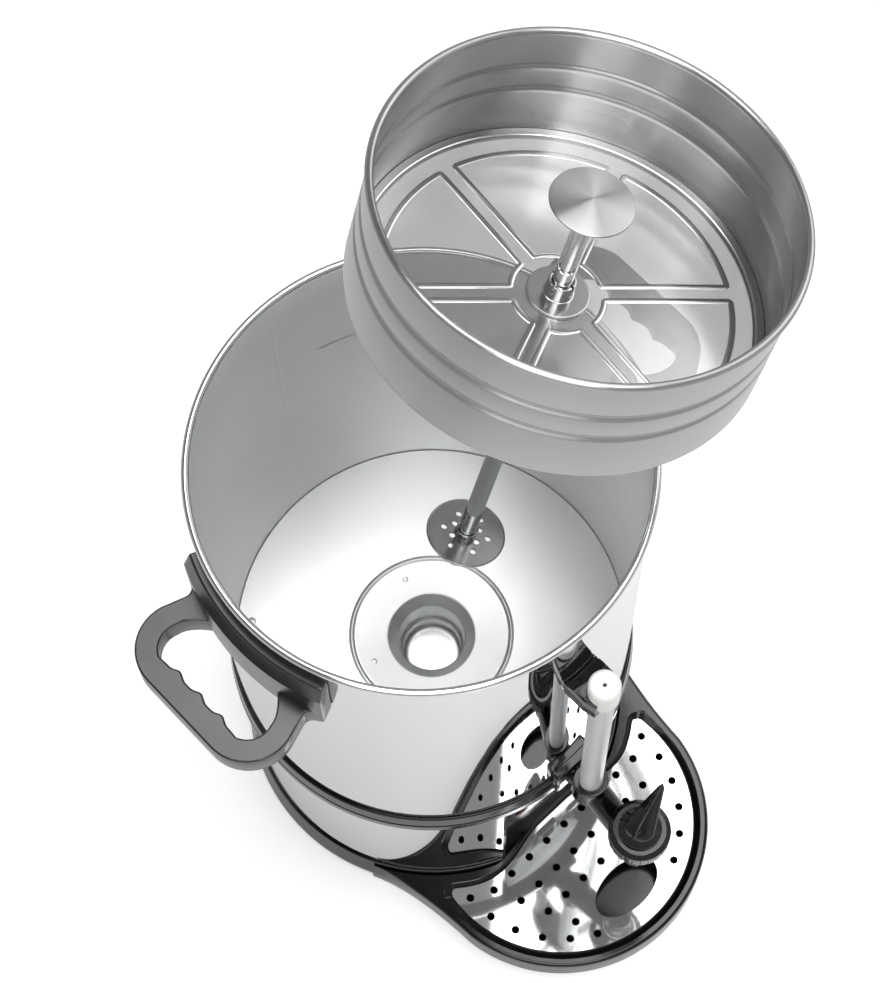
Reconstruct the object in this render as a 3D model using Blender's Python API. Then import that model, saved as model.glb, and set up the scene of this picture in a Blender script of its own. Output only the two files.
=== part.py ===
"""A percolating coffee urn with its brewing basket lifted out and leaning over the open tank.

Metres, +Z up. The origin is on the table under the tank's axis. The tap faces -Y and the two
carrying handles face -X and +X. Pieces that move are parented to an empty on their joint.
"""

import math

import bmesh
import bpy
from mathutils import Vector

# Fits. FIT is the gap left between pieces that touch, SLIP the gap of a hand-loose fit.
FIT = 0.0003
SLIP = 0.0006
SHAFT_FIT = 0.0004

# Tank: spun stainless wall with a rolled bead round its mouth, and a dished floor with a well.
RIM_HEIGHT = 0.4900
TANK_RADIUS = 0.1316
TANK_WALL = 0.0010
BEAD_DIAMETER = 0.0046
BEAD_OVERHANG = 0.0034
TANK_DEPTH = 0.3157
FLOOR_SHEET = 0.0012
FLOOR_SKIRT = 0.0024
FLOOR_FALL = 0.0045
GROOVE_RADIUS = 0.0535
GROOVE_WIDTH = 0.0036
GROOVE_DEPTH = 0.0014
WELL_RADIUS = 0.0292
WELL_FALL = 0.0035
WELL_STEP_RADIUS = 0.0225
WELL_STEP_DEPTH = 0.0060
WELL_BOTTOM_RADIUS = 0.0206
WELL_DEPTH = 0.0350

# Trim ring: the black band that joins the tank to the base.
TRIM_FLANGE = 0.0012
TRIM_FLANGE_WIDTH = 0.0080
TRIM_HEIGHT = 0.0221
TRIM_THICKNESS = 0.0031
TRIM_GROOVE = 0.0009
TRIM_GROOVE_HEIGHT = 0.0092
TRIM_TAPER = 0.0014

# Base: steel casing, black foot ring and steel bottom plate on rubber feet.
GROUND_GAP = 0.0040
FOOT_RING_HEIGHT = 0.0260
FOOT_FLARE = 0.0047
FOOT_LIP = 0.0012
FOOT_LIP_HEIGHT = 0.0028
FOOT_SEAT = 0.0073
FOOT_LEDGE = 0.0100
FOOT_LEDGE_HEIGHT = 0.0060
CASING_INSET = 0.0013
CASING_WALL = 0.0010
BOTTOM_SHEET = 0.0012
RUBBER_FOOT_RADIUS = 0.0110
RUBBER_FOOT_TAPER = 0.0015
RUBBER_FOOT_CIRCLE = 0.0800
RUBBER_STEM_RADIUS = 0.0030
RUBBER_BARB_RADIUS = 0.0045
RUBBER_BARB_HEIGHT = 0.0030
BASE_SCREW_RADIUS = 0.0018
BASE_SCREW_HEAD_RADIUS = 0.0034
BASE_SCREW_HEAD = 0.0022
BASE_SCREW_TAPER = 0.0007
BASE_SCREW_END = 0.0022

# Front panel: a recessed black panel under the tap, with the switch and two pilot lamps.
PANEL_RECESS = 0.0138
PANEL_THICKNESS = 0.0030
PANEL_HALF_WIDTH = 0.0485
PANEL_LIP = 0.0025
SWITCH_RISE = 0.0650
SWITCH_WIDTH = 0.0180
SWITCH_LENGTH = 0.0260
SWITCH_FLANGE = 0.0022
SWITCH_RIM = 0.0020
SWITCH_WALL = 0.0012
SWITCH_BODY_DEPTH = 0.0180
SWITCH_POCKET = 0.0110
ROCKER_TILT = math.radians(10)
ROCKER_THICKNESS = 0.0052
ROCKER_BACK = 0.0026
ROCKER_DISH = 0.0016
LAMP_OFFSET = 0.0270
LAMP_RADIUS = 0.0045
LAMP_FLANGE_RADIUS = 0.0062
LAMP_FLANGE = 0.0018
LAMP_CHAMFER = 0.0012
LAMP_LENGTH = 0.0140

# Carrying handles: a curved pad against the tank, under the bead, and a loop for the fingers.
PAD_DROP = 0.0150
PAD_HEIGHT = 0.0510
PAD_THICKNESS = 0.0115
PAD_TOP_THICKNESS = 0.0070
PAD_BEVEL = 0.0120
PAD_HALF_ANGLE = math.radians(23.5)
LOOP_DROP = 0.0360
LOOP_THICKNESS = 0.0200
LOOP_REACH = 0.0575
LOOP_HALF_WIDTH = 0.0550
LOOP_BAR = 0.0150
LOOP_CORNER = 0.0280
LOOP_ROOT_HALF_WIDTH = 0.0460
SCALLOP_PITCH = 0.0178
SCALLOP_DEPTH = 0.0024
SCALLOP_RIDGES = 3
HANDLE_SCREW_RADIUS = 0.0022
HANDLE_SCREW_HEAD_RADIUS = 0.0050
HANDLE_SCREW_HEAD = 0.0024
HANDLE_SCREW_TAPER = 0.0012
HANDLE_SCREW_LENGTH = 0.0085
HANDLE_SCREW_DROP = 0.0260
HANDLE_SCREW_ANGLE = math.radians(13)

# Sight gauge: a tube in front of the tank, clamped at its cap and standing in the tap.
GAUGE_OFFSET = 0.0189
GAUGE_TUBE_RADIUS = 0.0076
GAUGE_TUBE_BORE = 0.0058
GAUGE_TUBE_RISE = 0.0100
GAUGE_CAP_DROP = 0.0685
GAUGE_CAP_HEIGHT = 0.0240
GAUGE_CAP_RADIUS = 0.0097
GAUGE_CAP_EDGE = 0.0012
GAUGE_CAP_CROWN = 0.0040
GAUGE_VENT_RADIUS = 0.0012
BRACKET_HALF_WIDTH = 0.0125
BRACKET_NOSE = 0.0040
BRACKET_DROP = 0.0120
BRACKET_HEIGHT = 0.0225
GAUGE_SEAL_HEIGHT = 0.0020
GAUGE_SEAL_BORE = 0.0046
GAUGE_CHANNEL_RADIUS = 0.0040

# Tap: flange and shank on the tank, a sloping arm, and an upright barrel with a turning plug.
TAP_INLET_RISE = 0.0137
TAP_SHANK_RADIUS = 0.0090
TAP_SHANK_INSIDE = 0.0135
TAP_CHANNEL_RADIUS = 0.0050
TAP_FLANGE_HALF_WIDTH = 0.0165
TAP_FLANGE_BELOW = 0.0118
TAP_FLANGE_ABOVE = 0.0180
TAP_FLANGE_THICKNESS = 0.0060
TAP_ARM_LENGTH = 0.0451
TAP_ARM_RADIUS = 0.0095
TAP_ARM_FALL = 0.0280
TAP_SOCKET_RADIUS = 0.0118
TAP_SOCKET_DEPTH = 0.0040
TAP_BARREL_RADIUS = 0.0160
TAP_BARREL_RISE = 0.0080
TAP_BARREL_LENGTH = 0.0460
TAP_SPOUT_RADIUS = 0.0095
TAP_SPOUT_BORE = 0.0065
TAP_SPOUT_LENGTH = 0.0220
PLUG_RADIUS = 0.0112
PLUG_LENGTH = 0.0390
PLUG_PORT_RADIUS = 0.0040
PLUG_PORT_RISE = 0.0080
SPINDLE_RADIUS = 0.0050
BONNET_RADIUS = 0.0202
BONNET_SKIRT = 0.0095
BONNET_TOP = 0.0060
BONNET_CHAMFER = 0.0030
LEVER_HUB_RADIUS = 0.0140
LEVER_HUB_TOP_RADIUS = 0.0080
LEVER_HUB_HEIGHT = 0.0090
LEVER_HUB_SIDE = 0.0030
LEVER_REACH = 0.0325
LEVER_TAIL = 0.0098
LEVER_THICKNESS = 0.0070
LEVER_RISE = 0.0060
LEVER_ANGLE = math.radians(17)
LEVER_SOCKET = 0.0060
NUT_RADIUS = 0.0122
NUT_THICKNESS = 0.0050
GASKET_THICKNESS = 0.0027

# Brewing set, measured along the riser from its lower end.
RISER_RADIUS = 0.0053
RISER_BORE = 0.0043
RISER_LENGTH = 0.3400
VALVE_DISC_RADIUS = 0.0236
VALVE_DISC_HEIGHT = 0.0290
VALVE_DISC_SHEET = 0.0014
VALVE_COLLAR_RADIUS = 0.0085
VALVE_COLLAR_LENGTH = 0.0080
VALVE_HOLE_RADIUS = 0.0017
VALVE_HOLE_COUNT = 6
VALVE_OUTER_HOLES = 0.0190
VALVE_INNER_HOLES = 0.0130
STOP_RADIUS = 0.0095
STOP_LENGTH = 0.0100
BASKET_RADIUS = 0.1148
BASKET_DEPTH = 0.0791
BASKET_SHEET = 0.0010
BASKET_ROLL = 0.0046
BASKET_HEIGHT = 0.2626
BASKET_LIP = 0.0060
BASKET_UPPER_BEAD = 0.0287
BASKET_LOWER_BEAD = 0.0460
BASKET_BEAD_DEPTH = 0.0012
BASKET_BEAD_WIDTH = 0.0060
BOTTOM_RIBS = 6
BOTTOM_RIB_TURN = math.radians(20)
RIB_START = 0.0210
RIB_END = 0.0950
RIB_WIDTH = 0.0080
RIB_HEIGHT = 0.0014
BOTTOM_HOLE_RADIUS = 0.0047
BOTTOM_HOLE_ROWS = 5
BOTTOM_FIRST_ROW_HOLES = 2
HUB_RADIUS = 0.0170
HUB_SHEET = 0.0015
HUB_SLEEVE_RADIUS = 0.0076
HUB_SLEEVE_LENGTH = 0.0100
SPREADER_RADIUS = 0.0222
SPREADER_DOME = 0.0045
SPREADER_SHEET = 0.0012
SPREADER_SOCKET_LENGTH = 0.0130
SPREADER_SOCKET_WALL = 0.0015

# How the lifted brewing set is held: where its lower end hangs in the tank, and the lean of its axis.
LIFT_ASIDE = 0.0019
LIFT_FORWARD = 0.0249
LIFT_DROP = 0.1156
LIFT_LEAN = math.radians(17.85)
LIFT_LEAN_HEADING = math.radians(3.5)

# Drip tray: a dish with two tips that hug the foot ring and a tongue that enters the panel's recess.
TRAY_SETBACK = 0.0060
TRAY_NARROWING = 0.0304
TRAY_HEIGHT = 0.0260
TRAY_FLOOR = 0.0025
TRAY_RIM = 0.0106
TRAY_LEDGE = 0.0030
TRAY_TIP_WIDTH = 0.0044
TRAY_TIP_ANGLE = math.radians(54)
TRAY_TONGUE_HALF_WIDTH = 0.0440
TRAY_INNER_RIM = 0.0080
GRID_SHEET = 0.0015
GRID_RECESS = 0.0030
GRID_HOLE_RADIUS = 0.0028
GRID_HOLE_PITCH = 0.0172
GRID_ROW_PITCH = 0.0185
GRID_ROWS = 4
GRID_FIRST_ROW = 0.0040
GRID_FIELD_MARGIN = 0.0180
GRID_ARC_INSET = 0.0092
GRID_ARC_STEP = math.radians(13.2)
GRID_OVAL_HALF_WIDTH = 0.0266
GRID_OVAL_HALF_DEPTH = 0.0155
GRID_OVAL_MARGIN = 0.0060

# Heating and wiring inside the base.
PUMP_HEATER_RADIUS = 0.0200
PUMP_HEATER_HEIGHT = 0.0120
WARMER_MARGIN = 0.0543
WARMER_TUBE_RADIUS = 0.0035
CONTROL_GAP = 0.0040
THERMOSTAT_RADIUS = 0.0130
THERMOSTAT_HEIGHT = 0.0180
CUTOUT_RADIUS = 0.0080
CUTOUT_HEIGHT = 0.0100
TERMINAL_WIDTH = 0.0500
TERMINAL_DEPTH = 0.0220
TERMINAL_HEIGHT = 0.0200
TERMINAL_PLACE = 0.0600
GLAND_RISE = 0.0250
GLAND_RADIUS = 0.0080
GLAND_BORE = 0.0040
GLAND_HEAD_RADIUS = 0.0112
GLAND_HEAD_LENGTH = 0.0070
GLAND_CHAMFER = 0.0025
GLAND_LENGTH = 0.0160
GLAND_NUT_LENGTH = 0.0035

# Facets round large, medium and small turned pieces.
LARGE_STEPS = 60
BASKET_STEPS = 48
MEDIUM_STEPS = 24
SMALL_STEPS = 16

# Places that several pieces share.
TANK_BORE = TANK_RADIUS - TANK_WALL
RIM_RADIUS = TANK_RADIUS + BEAD_OVERHANG
FLOOR_TOP = RIM_HEIGHT - TANK_DEPTH
FLOOR_EDGE = TANK_BORE - FIT
WARMER_RADIUS = FLOOR_EDGE - WARMER_MARGIN
GROOVE_LEVEL = FLOOR_TOP - FLOOR_FALL
WELL_LEVEL = GROOVE_LEVEL - WELL_FALL
WELL_FLOOR = WELL_LEVEL - WELL_STEP_DEPTH - WELL_DEPTH
WELL_UNDERSIDE = WELL_FLOOR - FLOOR_SHEET
TANK_BOTTOM = FLOOR_TOP - FLOOR_SKIRT
TRIM_SEAT = TANK_BOTTOM - FIT
TRIM_BOTTOM = TRIM_SEAT - TRIM_FLANGE
TRIM_TOP = TRIM_BOTTOM + TRIM_HEIGHT
CASING_RADIUS = TANK_RADIUS - CASING_INSET
CASING_TOP = TRIM_BOTTOM - FIT
FOOT_RING_RADIUS = CASING_RADIUS + FOOT_FLARE
FOOT_INNER_RADIUS = CASING_RADIUS - CASING_WALL - FOOT_SEAT
FOOT_LEDGE_RADIUS = FOOT_INNER_RADIUS - FOOT_LEDGE
FOOT_RING_TOP = GROUND_GAP + FOOT_RING_HEIGHT
CASING_SEAT = FOOT_RING_TOP - FOOT_LIP_HEIGHT
CASING_BOTTOM = CASING_SEAT + FIT
LEDGE_TOP = GROUND_GAP + FOOT_LEDGE_HEIGHT
BOTTOM_PLATE_LOW = LEDGE_TOP + FIT
BOTTOM_PLATE_TOP = BOTTOM_PLATE_LOW + BOTTOM_SHEET
BASE_SCREW_CIRCLE = FOOT_LEDGE_RADIUS + FOOT_LEDGE / 2
PANEL_FACE = CASING_RADIUS - PANEL_RECESS
PANEL_BACK = PANEL_FACE - PANEL_THICKNESS
WINDOW_HALF_WIDTH = PANEL_HALF_WIDTH + FIT
SWITCH_HEIGHT = FOOT_RING_TOP + SWITCH_RISE
GLAND_HEIGHT = FOOT_RING_TOP + GLAND_RISE
PAD_TOP = RIM_HEIGHT - PAD_DROP
PAD_BOTTOM = PAD_TOP - PAD_HEIGHT
LOOP_TOP = PAD_TOP - LOOP_DROP
HANDLE_SCREW_HEIGHT = PAD_TOP - HANDLE_SCREW_DROP
TAP_INLET_HEIGHT = FLOOR_TOP + TAP_INLET_RISE
TAP_FLANGE_BOTTOM = TAP_INLET_HEIGHT - TAP_FLANGE_BELOW
TAP_ARM_END_HEIGHT = TAP_INLET_HEIGHT - TAP_ARM_FALL
TAP_BARREL_TOP = TAP_INLET_HEIGHT + TAP_BARREL_RISE
TAP_BARREL_BOTTOM = TAP_BARREL_TOP - TAP_BARREL_LENGTH
PLUG_BOTTOM = TAP_BARREL_TOP - PLUG_LENGTH
GAUGE_REACH = TANK_RADIUS + GAUGE_OFFSET
GAUGE_TUBE_BOTTOM = TAP_INLET_HEIGHT + GAUGE_TUBE_RISE
GAUGE_CAP_TOP = RIM_HEIGHT - GAUGE_CAP_DROP
GAUGE_CAP_BOTTOM = GAUGE_CAP_TOP - GAUGE_CAP_HEIGHT
TAP_REACH = GAUGE_REACH + TAP_ARM_LENGTH
BASKET_RIM = BASKET_HEIGHT + BASKET_DEPTH
BASKET_WALL = BASKET_RADIUS - BASKET_ROLL / 2
BASKET_BORE = BASKET_WALL - BASKET_SHEET
TRAY_CENTRE = FOOT_RING_RADIUS - TRAY_SETBACK
TRAY_RADIUS = FOOT_RING_RADIUS - TRAY_NARROWING
GRID_SEAT = TRAY_HEIGHT - GRID_RECESS
GRID_RADIUS = TRAY_RADIUS - TRAY_RIM


def clear_scene():
    for item in list(bpy.data.objects):
        bpy.data.objects.remove(item, do_unlink=True)


def surface(name, colour, roughness, metallic):
    """A Principled material from an sRGB grey or colour, given as three 0-255 values."""
    made = bpy.data.materials.new(name)
    made.use_nodes = True
    shader = made.node_tree.nodes["Principled BSDF"]
    linear = [(channel / 255) ** 2.2 for channel in colour]
    shader.inputs["Base Color"].default_value = (*linear, 1)
    shader.inputs["Roughness"].default_value = roughness
    shader.inputs["Metallic"].default_value = metallic
    return made


def finish_object(name, mesh_data, material, parent=None):
    """Turns a bmesh into a named object, with its faces outwards and round faces smooth."""
    bmesh.ops.remove_doubles(mesh_data, verts=mesh_data.verts, dist=1e-6)
    bmesh.ops.recalc_face_normals(mesh_data, faces=mesh_data.faces)
    mesh = bpy.data.meshes.new(name)
    mesh_data.to_mesh(mesh)
    mesh_data.free()
    mesh.shade_smooth()
    mesh.set_sharp_from_angle(angle=math.radians(35))
    made = bpy.data.objects.new(name, mesh)
    bpy.context.scene.collection.objects.link(made)
    if material is not None:
        mesh.materials.append(material)
    made.parent = parent
    return made


def lathe(name, profile, material, steps=MEDIUM_STEPS, parent=None):
    """A turned solid. profile is (radius, height) points; radius 0 at both ends closes on the axis."""
    solid = bmesh.new()
    points = [solid.verts.new((radius, 0, height)) for radius, height in profile]
    edges = [solid.edges.new(pair) for pair in zip(points, points[1:])]
    if profile[0][0] > 0 or profile[-1][0] > 0:
        edges.append(solid.edges.new((points[-1], points[0])))
    bmesh.ops.spin(
        solid, geom=points + edges, cent=(0, 0, 0), axis=(0, 0, 1),
        angle=math.tau, steps=steps, use_merge=True,
    )
    return finish_object(name, solid, material, parent)


def slab(name, outline, low, high, axis="Z", material=None, parent=None):
    """An outline drawn out from low to high along an axis: (x, y) for Z, (y, z) for X, (x, z) for Y."""
    place = {
        "X": lambda a, b: (low, a, b),
        "Y": lambda a, b: (a, low, b),
        "Z": lambda a, b: (a, b, low),
    }[axis]
    solid = bmesh.new()
    face = solid.faces.new([solid.verts.new(place(a, b)) for a, b in outline])
    raised = bmesh.ops.extrude_face_region(solid, geom=[face])["geom"]
    moved = [item for item in raised if isinstance(item, bmesh.types.BMVert)]
    run = Vector((axis == "X", axis == "Y", axis == "Z")) * (high - low)
    bmesh.ops.translate(solid, verts=moved, vec=run)
    return finish_object(name, solid, material, parent)


def sector(name, profile, half_angle, steps, material=None):
    """A closed (radius, height) profile swept about Z, to both sides of +X."""
    solid = bmesh.new()
    c, s = math.cos(half_angle), -math.sin(half_angle)
    face = solid.faces.new([solid.verts.new((radius * c, radius * s, height)) for radius, height in profile])
    bmesh.ops.spin(
        solid, geom=[face], cent=(0, 0, 0), axis=(0, 0, 1), angle=2 * half_angle, steps=steps,
    )
    return finish_object(name, solid, material)


def box(name, low, high, material=None, parent=None):
    corners = [(low[0], low[1]), (high[0], low[1]), (high[0], high[1]), (low[0], high[1])]
    return slab(name, corners, low[2], high[2], "Z", material, parent)


def rod(name, start, end, radius, material=None, steps=SMALL_STEPS, parent=None):
    """A round bar between two points."""
    start = Vector(start)
    run = Vector(end) - start
    turn = run.to_track_quat("Z", "Y").to_matrix().to_4x4()
    turn.translation = start + run / 2
    solid = bmesh.new()
    bmesh.ops.create_cone(
        solid, cap_ends=True, segments=steps, radius1=radius, radius2=radius,
        depth=run.length, matrix=turn,
    )
    return finish_object(name, solid, material, parent)


def boolean(target, tool, operation):
    """Cuts or joins tool, which stays in the file as a hidden guide."""
    step = target.modifiers.new(tool.name, "BOOLEAN")
    step.operation = operation
    step.object = tool
    step.solver = "EXACT"
    tool.hide_render = True
    tool.display_type = "WIRE"
    return target


def cut(target, *tools):
    for tool in tools:
        boolean(target, tool, "DIFFERENCE")
    return target


def join(target, *tools):
    for tool in tools:
        boolean(target, tool, "UNION")
    return target


def arc(centre, radius, start, end, steps):
    """Points on an arc, angles counted from +X towards +Y."""
    turn = (end - start) / steps
    angles = [start + turn * index for index in range(steps + 1)]
    return [(centre[0] + radius * math.cos(a), centre[1] + radius * math.sin(a)) for a in angles]


def from_front(radius, angle):
    """A point in plan at an angle counted from -Y towards +X."""
    return (radius * math.sin(angle), -radius * math.cos(angle))


def holes(name, centres, radius, low, high, steps=SMALL_STEPS, parent=None):
    """One cutter that holds a round punch at each (x, y) centre."""
    solid = bmesh.new()
    for x, y in centres:
        ring = [solid.verts.new((px, py, low)) for px, py in arc((x, y), radius, 0, math.tau, steps)[:-1]]
        face = solid.faces.new(ring)
        raised = bmesh.ops.extrude_face_region(solid, geom=[face])["geom"]
        moved = [item for item in raised if isinstance(item, bmesh.types.BMVert)]
        bmesh.ops.translate(solid, verts=moved, vec=(0, 0, high - low))
    return finish_object(name, solid, None, parent)


def empty(name, place, turn=(0, 0, 0)):
    made = bpy.data.objects.new(name, None)
    made.location = place
    made.rotation_euler = turn
    bpy.context.scene.collection.objects.link(made)
    return made


clear_scene()
POLISHED = surface("polished_stainless", (225, 226, 228), 0.08, 1.0)
SATIN = surface("satin_stainless", (205, 206, 208), 0.30, 1.0)
BRUSHED = surface("brushed_stainless", (200, 201, 203), 0.28, 1.0)
BLACK_GLOSS = surface("black_gloss_plastic", (24, 24, 25), 0.22, 0.0)
BLACK_MATT = surface("black_matt_plastic", (38, 38, 39), 0.55, 0.0)
RUBBER = surface("black_rubber", (22, 22, 22), 0.80, 0.0)
SILICONE = surface("white_silicone", (222, 222, 218), 0.60, 0.0)
CLEAR = surface("clear_tube", (214, 217, 219), 0.12, 0.0)
WHITE = surface("white_plastic", (240, 240, 240), 0.35, 0.0)
ZINC = surface("zinc_plated_steel", (176, 178, 180), 0.40, 1.0)
AMBER = surface("amber_lens", (214, 120, 20), 0.15, 0.0)
CERAMIC = surface("ceramic_and_mica", (208, 200, 186), 0.70, 0.0)


def make_tank_shell():
    bead_radius = BEAD_DIAMETER / 2
    bead_centre = (RIM_RADIUS - bead_radius, RIM_HEIGHT - bead_radius)
    outside = -math.acos((TANK_RADIUS - bead_centre[0]) / bead_radius)
    inside = math.tau - math.acos((TANK_BORE - bead_centre[0]) / bead_radius)
    profile = [(TANK_RADIUS, TANK_BOTTOM)]
    profile += arc(bead_centre, bead_radius, outside, inside, 9)
    profile += [(TANK_BORE, TANK_BOTTOM)]
    shell = lathe("tank_shell", profile, POLISHED, LARGE_STEPS)
    reach = RIM_RADIUS + BEAD_DIAMETER
    tap_hole = rod(
        "tap_hole", (0, -reach, TAP_INLET_HEIGHT), (0, -TANK_BORE / 2, TAP_INLET_HEIGHT),
        TAP_SHANK_RADIUS + FIT,
    )
    cut(shell, tap_hole)
    for side in (0, math.pi):
        for lean in (-HANDLE_SCREW_ANGLE, HANDLE_SCREW_ANGLE):
            along = Vector((math.cos(side + lean), math.sin(side + lean), 0))
            up = Vector((0, 0, HANDLE_SCREW_HEIGHT))
            cut(shell, rod(
                "handle_screw_hole", along * TANK_BORE / 2 + up, along * reach + up,
                HANDLE_SCREW_RADIUS + FIT,
            ))
    return shell


def floor_underside(radius):
    """Height of the dished floor's underside at a radius between the groove and the wall."""
    groove_edge = GROOVE_RADIUS + GROOVE_WIDTH / 2
    share = (FLOOR_EDGE - radius) / (FLOOR_EDGE - groove_edge)
    return FLOOR_TOP - FLOOR_FALL * share - FLOOR_SHEET


def make_tank_floor():
    groove = GROOVE_WIDTH / 2
    skirt = FLOOR_EDGE - FLOOR_SHEET
    step = WELL_LEVEL - WELL_STEP_DEPTH
    lathe("tank_floor", [
        (0, WELL_FLOOR),
        (WELL_BOTTOM_RADIUS, WELL_FLOOR),
        (WELL_STEP_RADIUS, step),
        (WELL_RADIUS, WELL_LEVEL),
        (GROOVE_RADIUS - groove, GROOVE_LEVEL),
        (GROOVE_RADIUS, GROOVE_LEVEL - GROOVE_DEPTH),
        (GROOVE_RADIUS + groove, GROOVE_LEVEL),
        (FLOOR_EDGE, FLOOR_TOP),
        (FLOOR_EDGE, TANK_BOTTOM),
        (skirt, TANK_BOTTOM),
        (skirt, floor_underside(skirt)),
        (GROOVE_RADIUS + groove, GROOVE_LEVEL - FLOOR_SHEET),
        (GROOVE_RADIUS, GROOVE_LEVEL - GROOVE_DEPTH - FLOOR_SHEET),
        (GROOVE_RADIUS - groove, GROOVE_LEVEL - FLOOR_SHEET),
        (WELL_RADIUS + FLOOR_SHEET, WELL_LEVEL - FLOOR_SHEET),
        (WELL_STEP_RADIUS + FLOOR_SHEET, step - FLOOR_SHEET),
        (WELL_BOTTOM_RADIUS + FLOOR_SHEET, WELL_UNDERSIDE),
        (0, WELL_UNDERSIDE),
    ], SATIN, LARGE_STEPS)


def make_trim_ring():
    inner = TANK_RADIUS + FIT
    outer = inner + TRIM_THICKNESS
    top = TRIM_TOP
    middle = TRIM_BOTTOM + TRIM_GROOVE_HEIGHT
    profile = [
        (inner, TRIM_SEAT),
        (TANK_BORE - TRIM_FLANGE_WIDTH, TRIM_SEAT),
        (TANK_BORE - TRIM_FLANGE_WIDTH, TRIM_BOTTOM),
        (outer, TRIM_BOTTOM),
        (outer, middle - TRIM_GROOVE),
        (outer - TRIM_GROOVE, middle),
        (outer - TRIM_GROOVE, middle + TRIM_GROOVE),
        (outer - TRIM_GROOVE / 3, middle + 2 * TRIM_GROOVE),
        (outer - TRIM_TAPER, top - TRIM_GROOVE),
        (outer - TRIM_TAPER - TRIM_GROOVE, top),
        (inner, top),
    ]
    ring = lathe("trim_ring", profile, BLACK_GLOSS, LARGE_STEPS)
    half = TAP_FLANGE_HALF_WIDTH + FIT
    notch = box(
        "tap_notch", (-half, -2 * RIM_RADIUS, TAP_FLANGE_BOTTOM - FIT),
        (half, -TANK_RADIUS / 2, top + TRIM_HEIGHT),
    )
    return cut(ring, notch)


def make_base():
    casing = lathe("base_casing", [
        (CASING_RADIUS, CASING_TOP), (CASING_RADIUS, CASING_BOTTOM),
        (CASING_RADIUS - CASING_WALL, CASING_BOTTOM), (CASING_RADIUS - CASING_WALL, CASING_TOP),
    ], POLISHED, LARGE_STEPS)
    clear = PANEL_BACK - FIT
    far = 2 * FOOT_RING_RADIUS
    window = box("panel_window", (-WINDOW_HALF_WIDTH, -far, 0), (WINDOW_HALF_WIDTH, -clear, RIM_HEIGHT))
    gland_hole = rod(
        "gland_hole", (0, CASING_RADIUS / 2, GLAND_HEIGHT), (0, far, GLAND_HEIGHT), GLAND_RADIUS + FIT,
    )
    cut(casing, window, gland_hole)

    lip = CASING_RADIUS + FIT
    ring = lathe("foot_ring", [
        (FOOT_LEDGE_RADIUS, GROUND_GAP), (FOOT_RING_RADIUS - FIT, GROUND_GAP),
        (FOOT_RING_RADIUS, LEDGE_TOP), (lip + FOOT_LIP, FOOT_RING_TOP), (lip, FOOT_RING_TOP),
        (lip, CASING_SEAT), (FOOT_INNER_RADIUS, CASING_SEAT), (FOOT_INNER_RADIUS, LEDGE_TOP),
        (FOOT_LEDGE_RADIUS, LEDGE_TOP),
    ], BLACK_GLOSS, LARGE_STEPS)
    half = WINDOW_HALF_WIDTH
    panel_slot = box("panel_slot", (-half, -far, LEDGE_TOP), (half, -clear, RIM_HEIGHT))
    tongue_slot = box("tongue_slot", (-half, -far, 0), (half, -PANEL_FACE, RIM_HEIGHT))
    screw_places = [from_front(BASE_SCREW_CIRCLE, math.radians(45 + 90 * index)) for index in range(4)]
    foot_places = [from_front(RUBBER_FOOT_CIRCLE, math.radians(45 + 90 * index)) for index in range(4)]
    screw_holes = holes("base_screw_holes", screw_places, BASE_SCREW_RADIUS + FIT, 0, RIM_HEIGHT / 4, 12)
    cut(ring, panel_slot, tongue_slot, screw_holes)

    plate = lathe("bottom_plate", [
        (0, BOTTOM_PLATE_TOP), (FOOT_INNER_RADIUS - FIT, BOTTOM_PLATE_TOP),
        (FOOT_INNER_RADIUS - FIT, BOTTOM_PLATE_LOW), (0, BOTTOM_PLATE_LOW),
    ], ZINC, LARGE_STEPS)
    plate_front = box("plate_front", (-far, -far, 0), (far, -clear + FIT, RIM_HEIGHT / 4))
    foot_holes = holes("foot_holes", foot_places, RUBBER_STEM_RADIUS + FIT, 0, RIM_HEIGHT / 4, 12)
    cut(plate, plate_front, screw_holes, foot_holes)

    for index, (x, y) in enumerate(foot_places, 1):
        stem_top = BOTTOM_PLATE_TOP + FIT
        foot = lathe(f"rubber_foot_{index}", [
            (0, stem_top + RUBBER_BARB_HEIGHT), (RUBBER_STEM_RADIUS, stem_top + RUBBER_BARB_HEIGHT),
            (RUBBER_BARB_RADIUS, stem_top), (RUBBER_STEM_RADIUS, stem_top),
            (RUBBER_STEM_RADIUS, BOTTOM_PLATE_LOW - FIT), (RUBBER_FOOT_RADIUS, BOTTOM_PLATE_LOW - FIT),
            (RUBBER_FOOT_RADIUS - RUBBER_FOOT_TAPER, 0), (0, 0),
        ], RUBBER, 20)
        foot.location = (x, y, 0)
    for index, (x, y) in enumerate(screw_places, 1):
        head_top = GROUND_GAP - FIT
        screw = lathe(f"base_screw_{index}", [
            (0, BOTTOM_PLATE_TOP + BASE_SCREW_END), (BASE_SCREW_RADIUS, BOTTOM_PLATE_TOP + BASE_SCREW_END),
            (BASE_SCREW_RADIUS, head_top), (BASE_SCREW_HEAD_RADIUS, head_top),
            (BASE_SCREW_HEAD_RADIUS - BASE_SCREW_TAPER, head_top - BASE_SCREW_HEAD),
            (0, head_top - BASE_SCREW_HEAD),
        ], ZINC, 12)
        screw.location = (x, y, 0)


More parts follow.
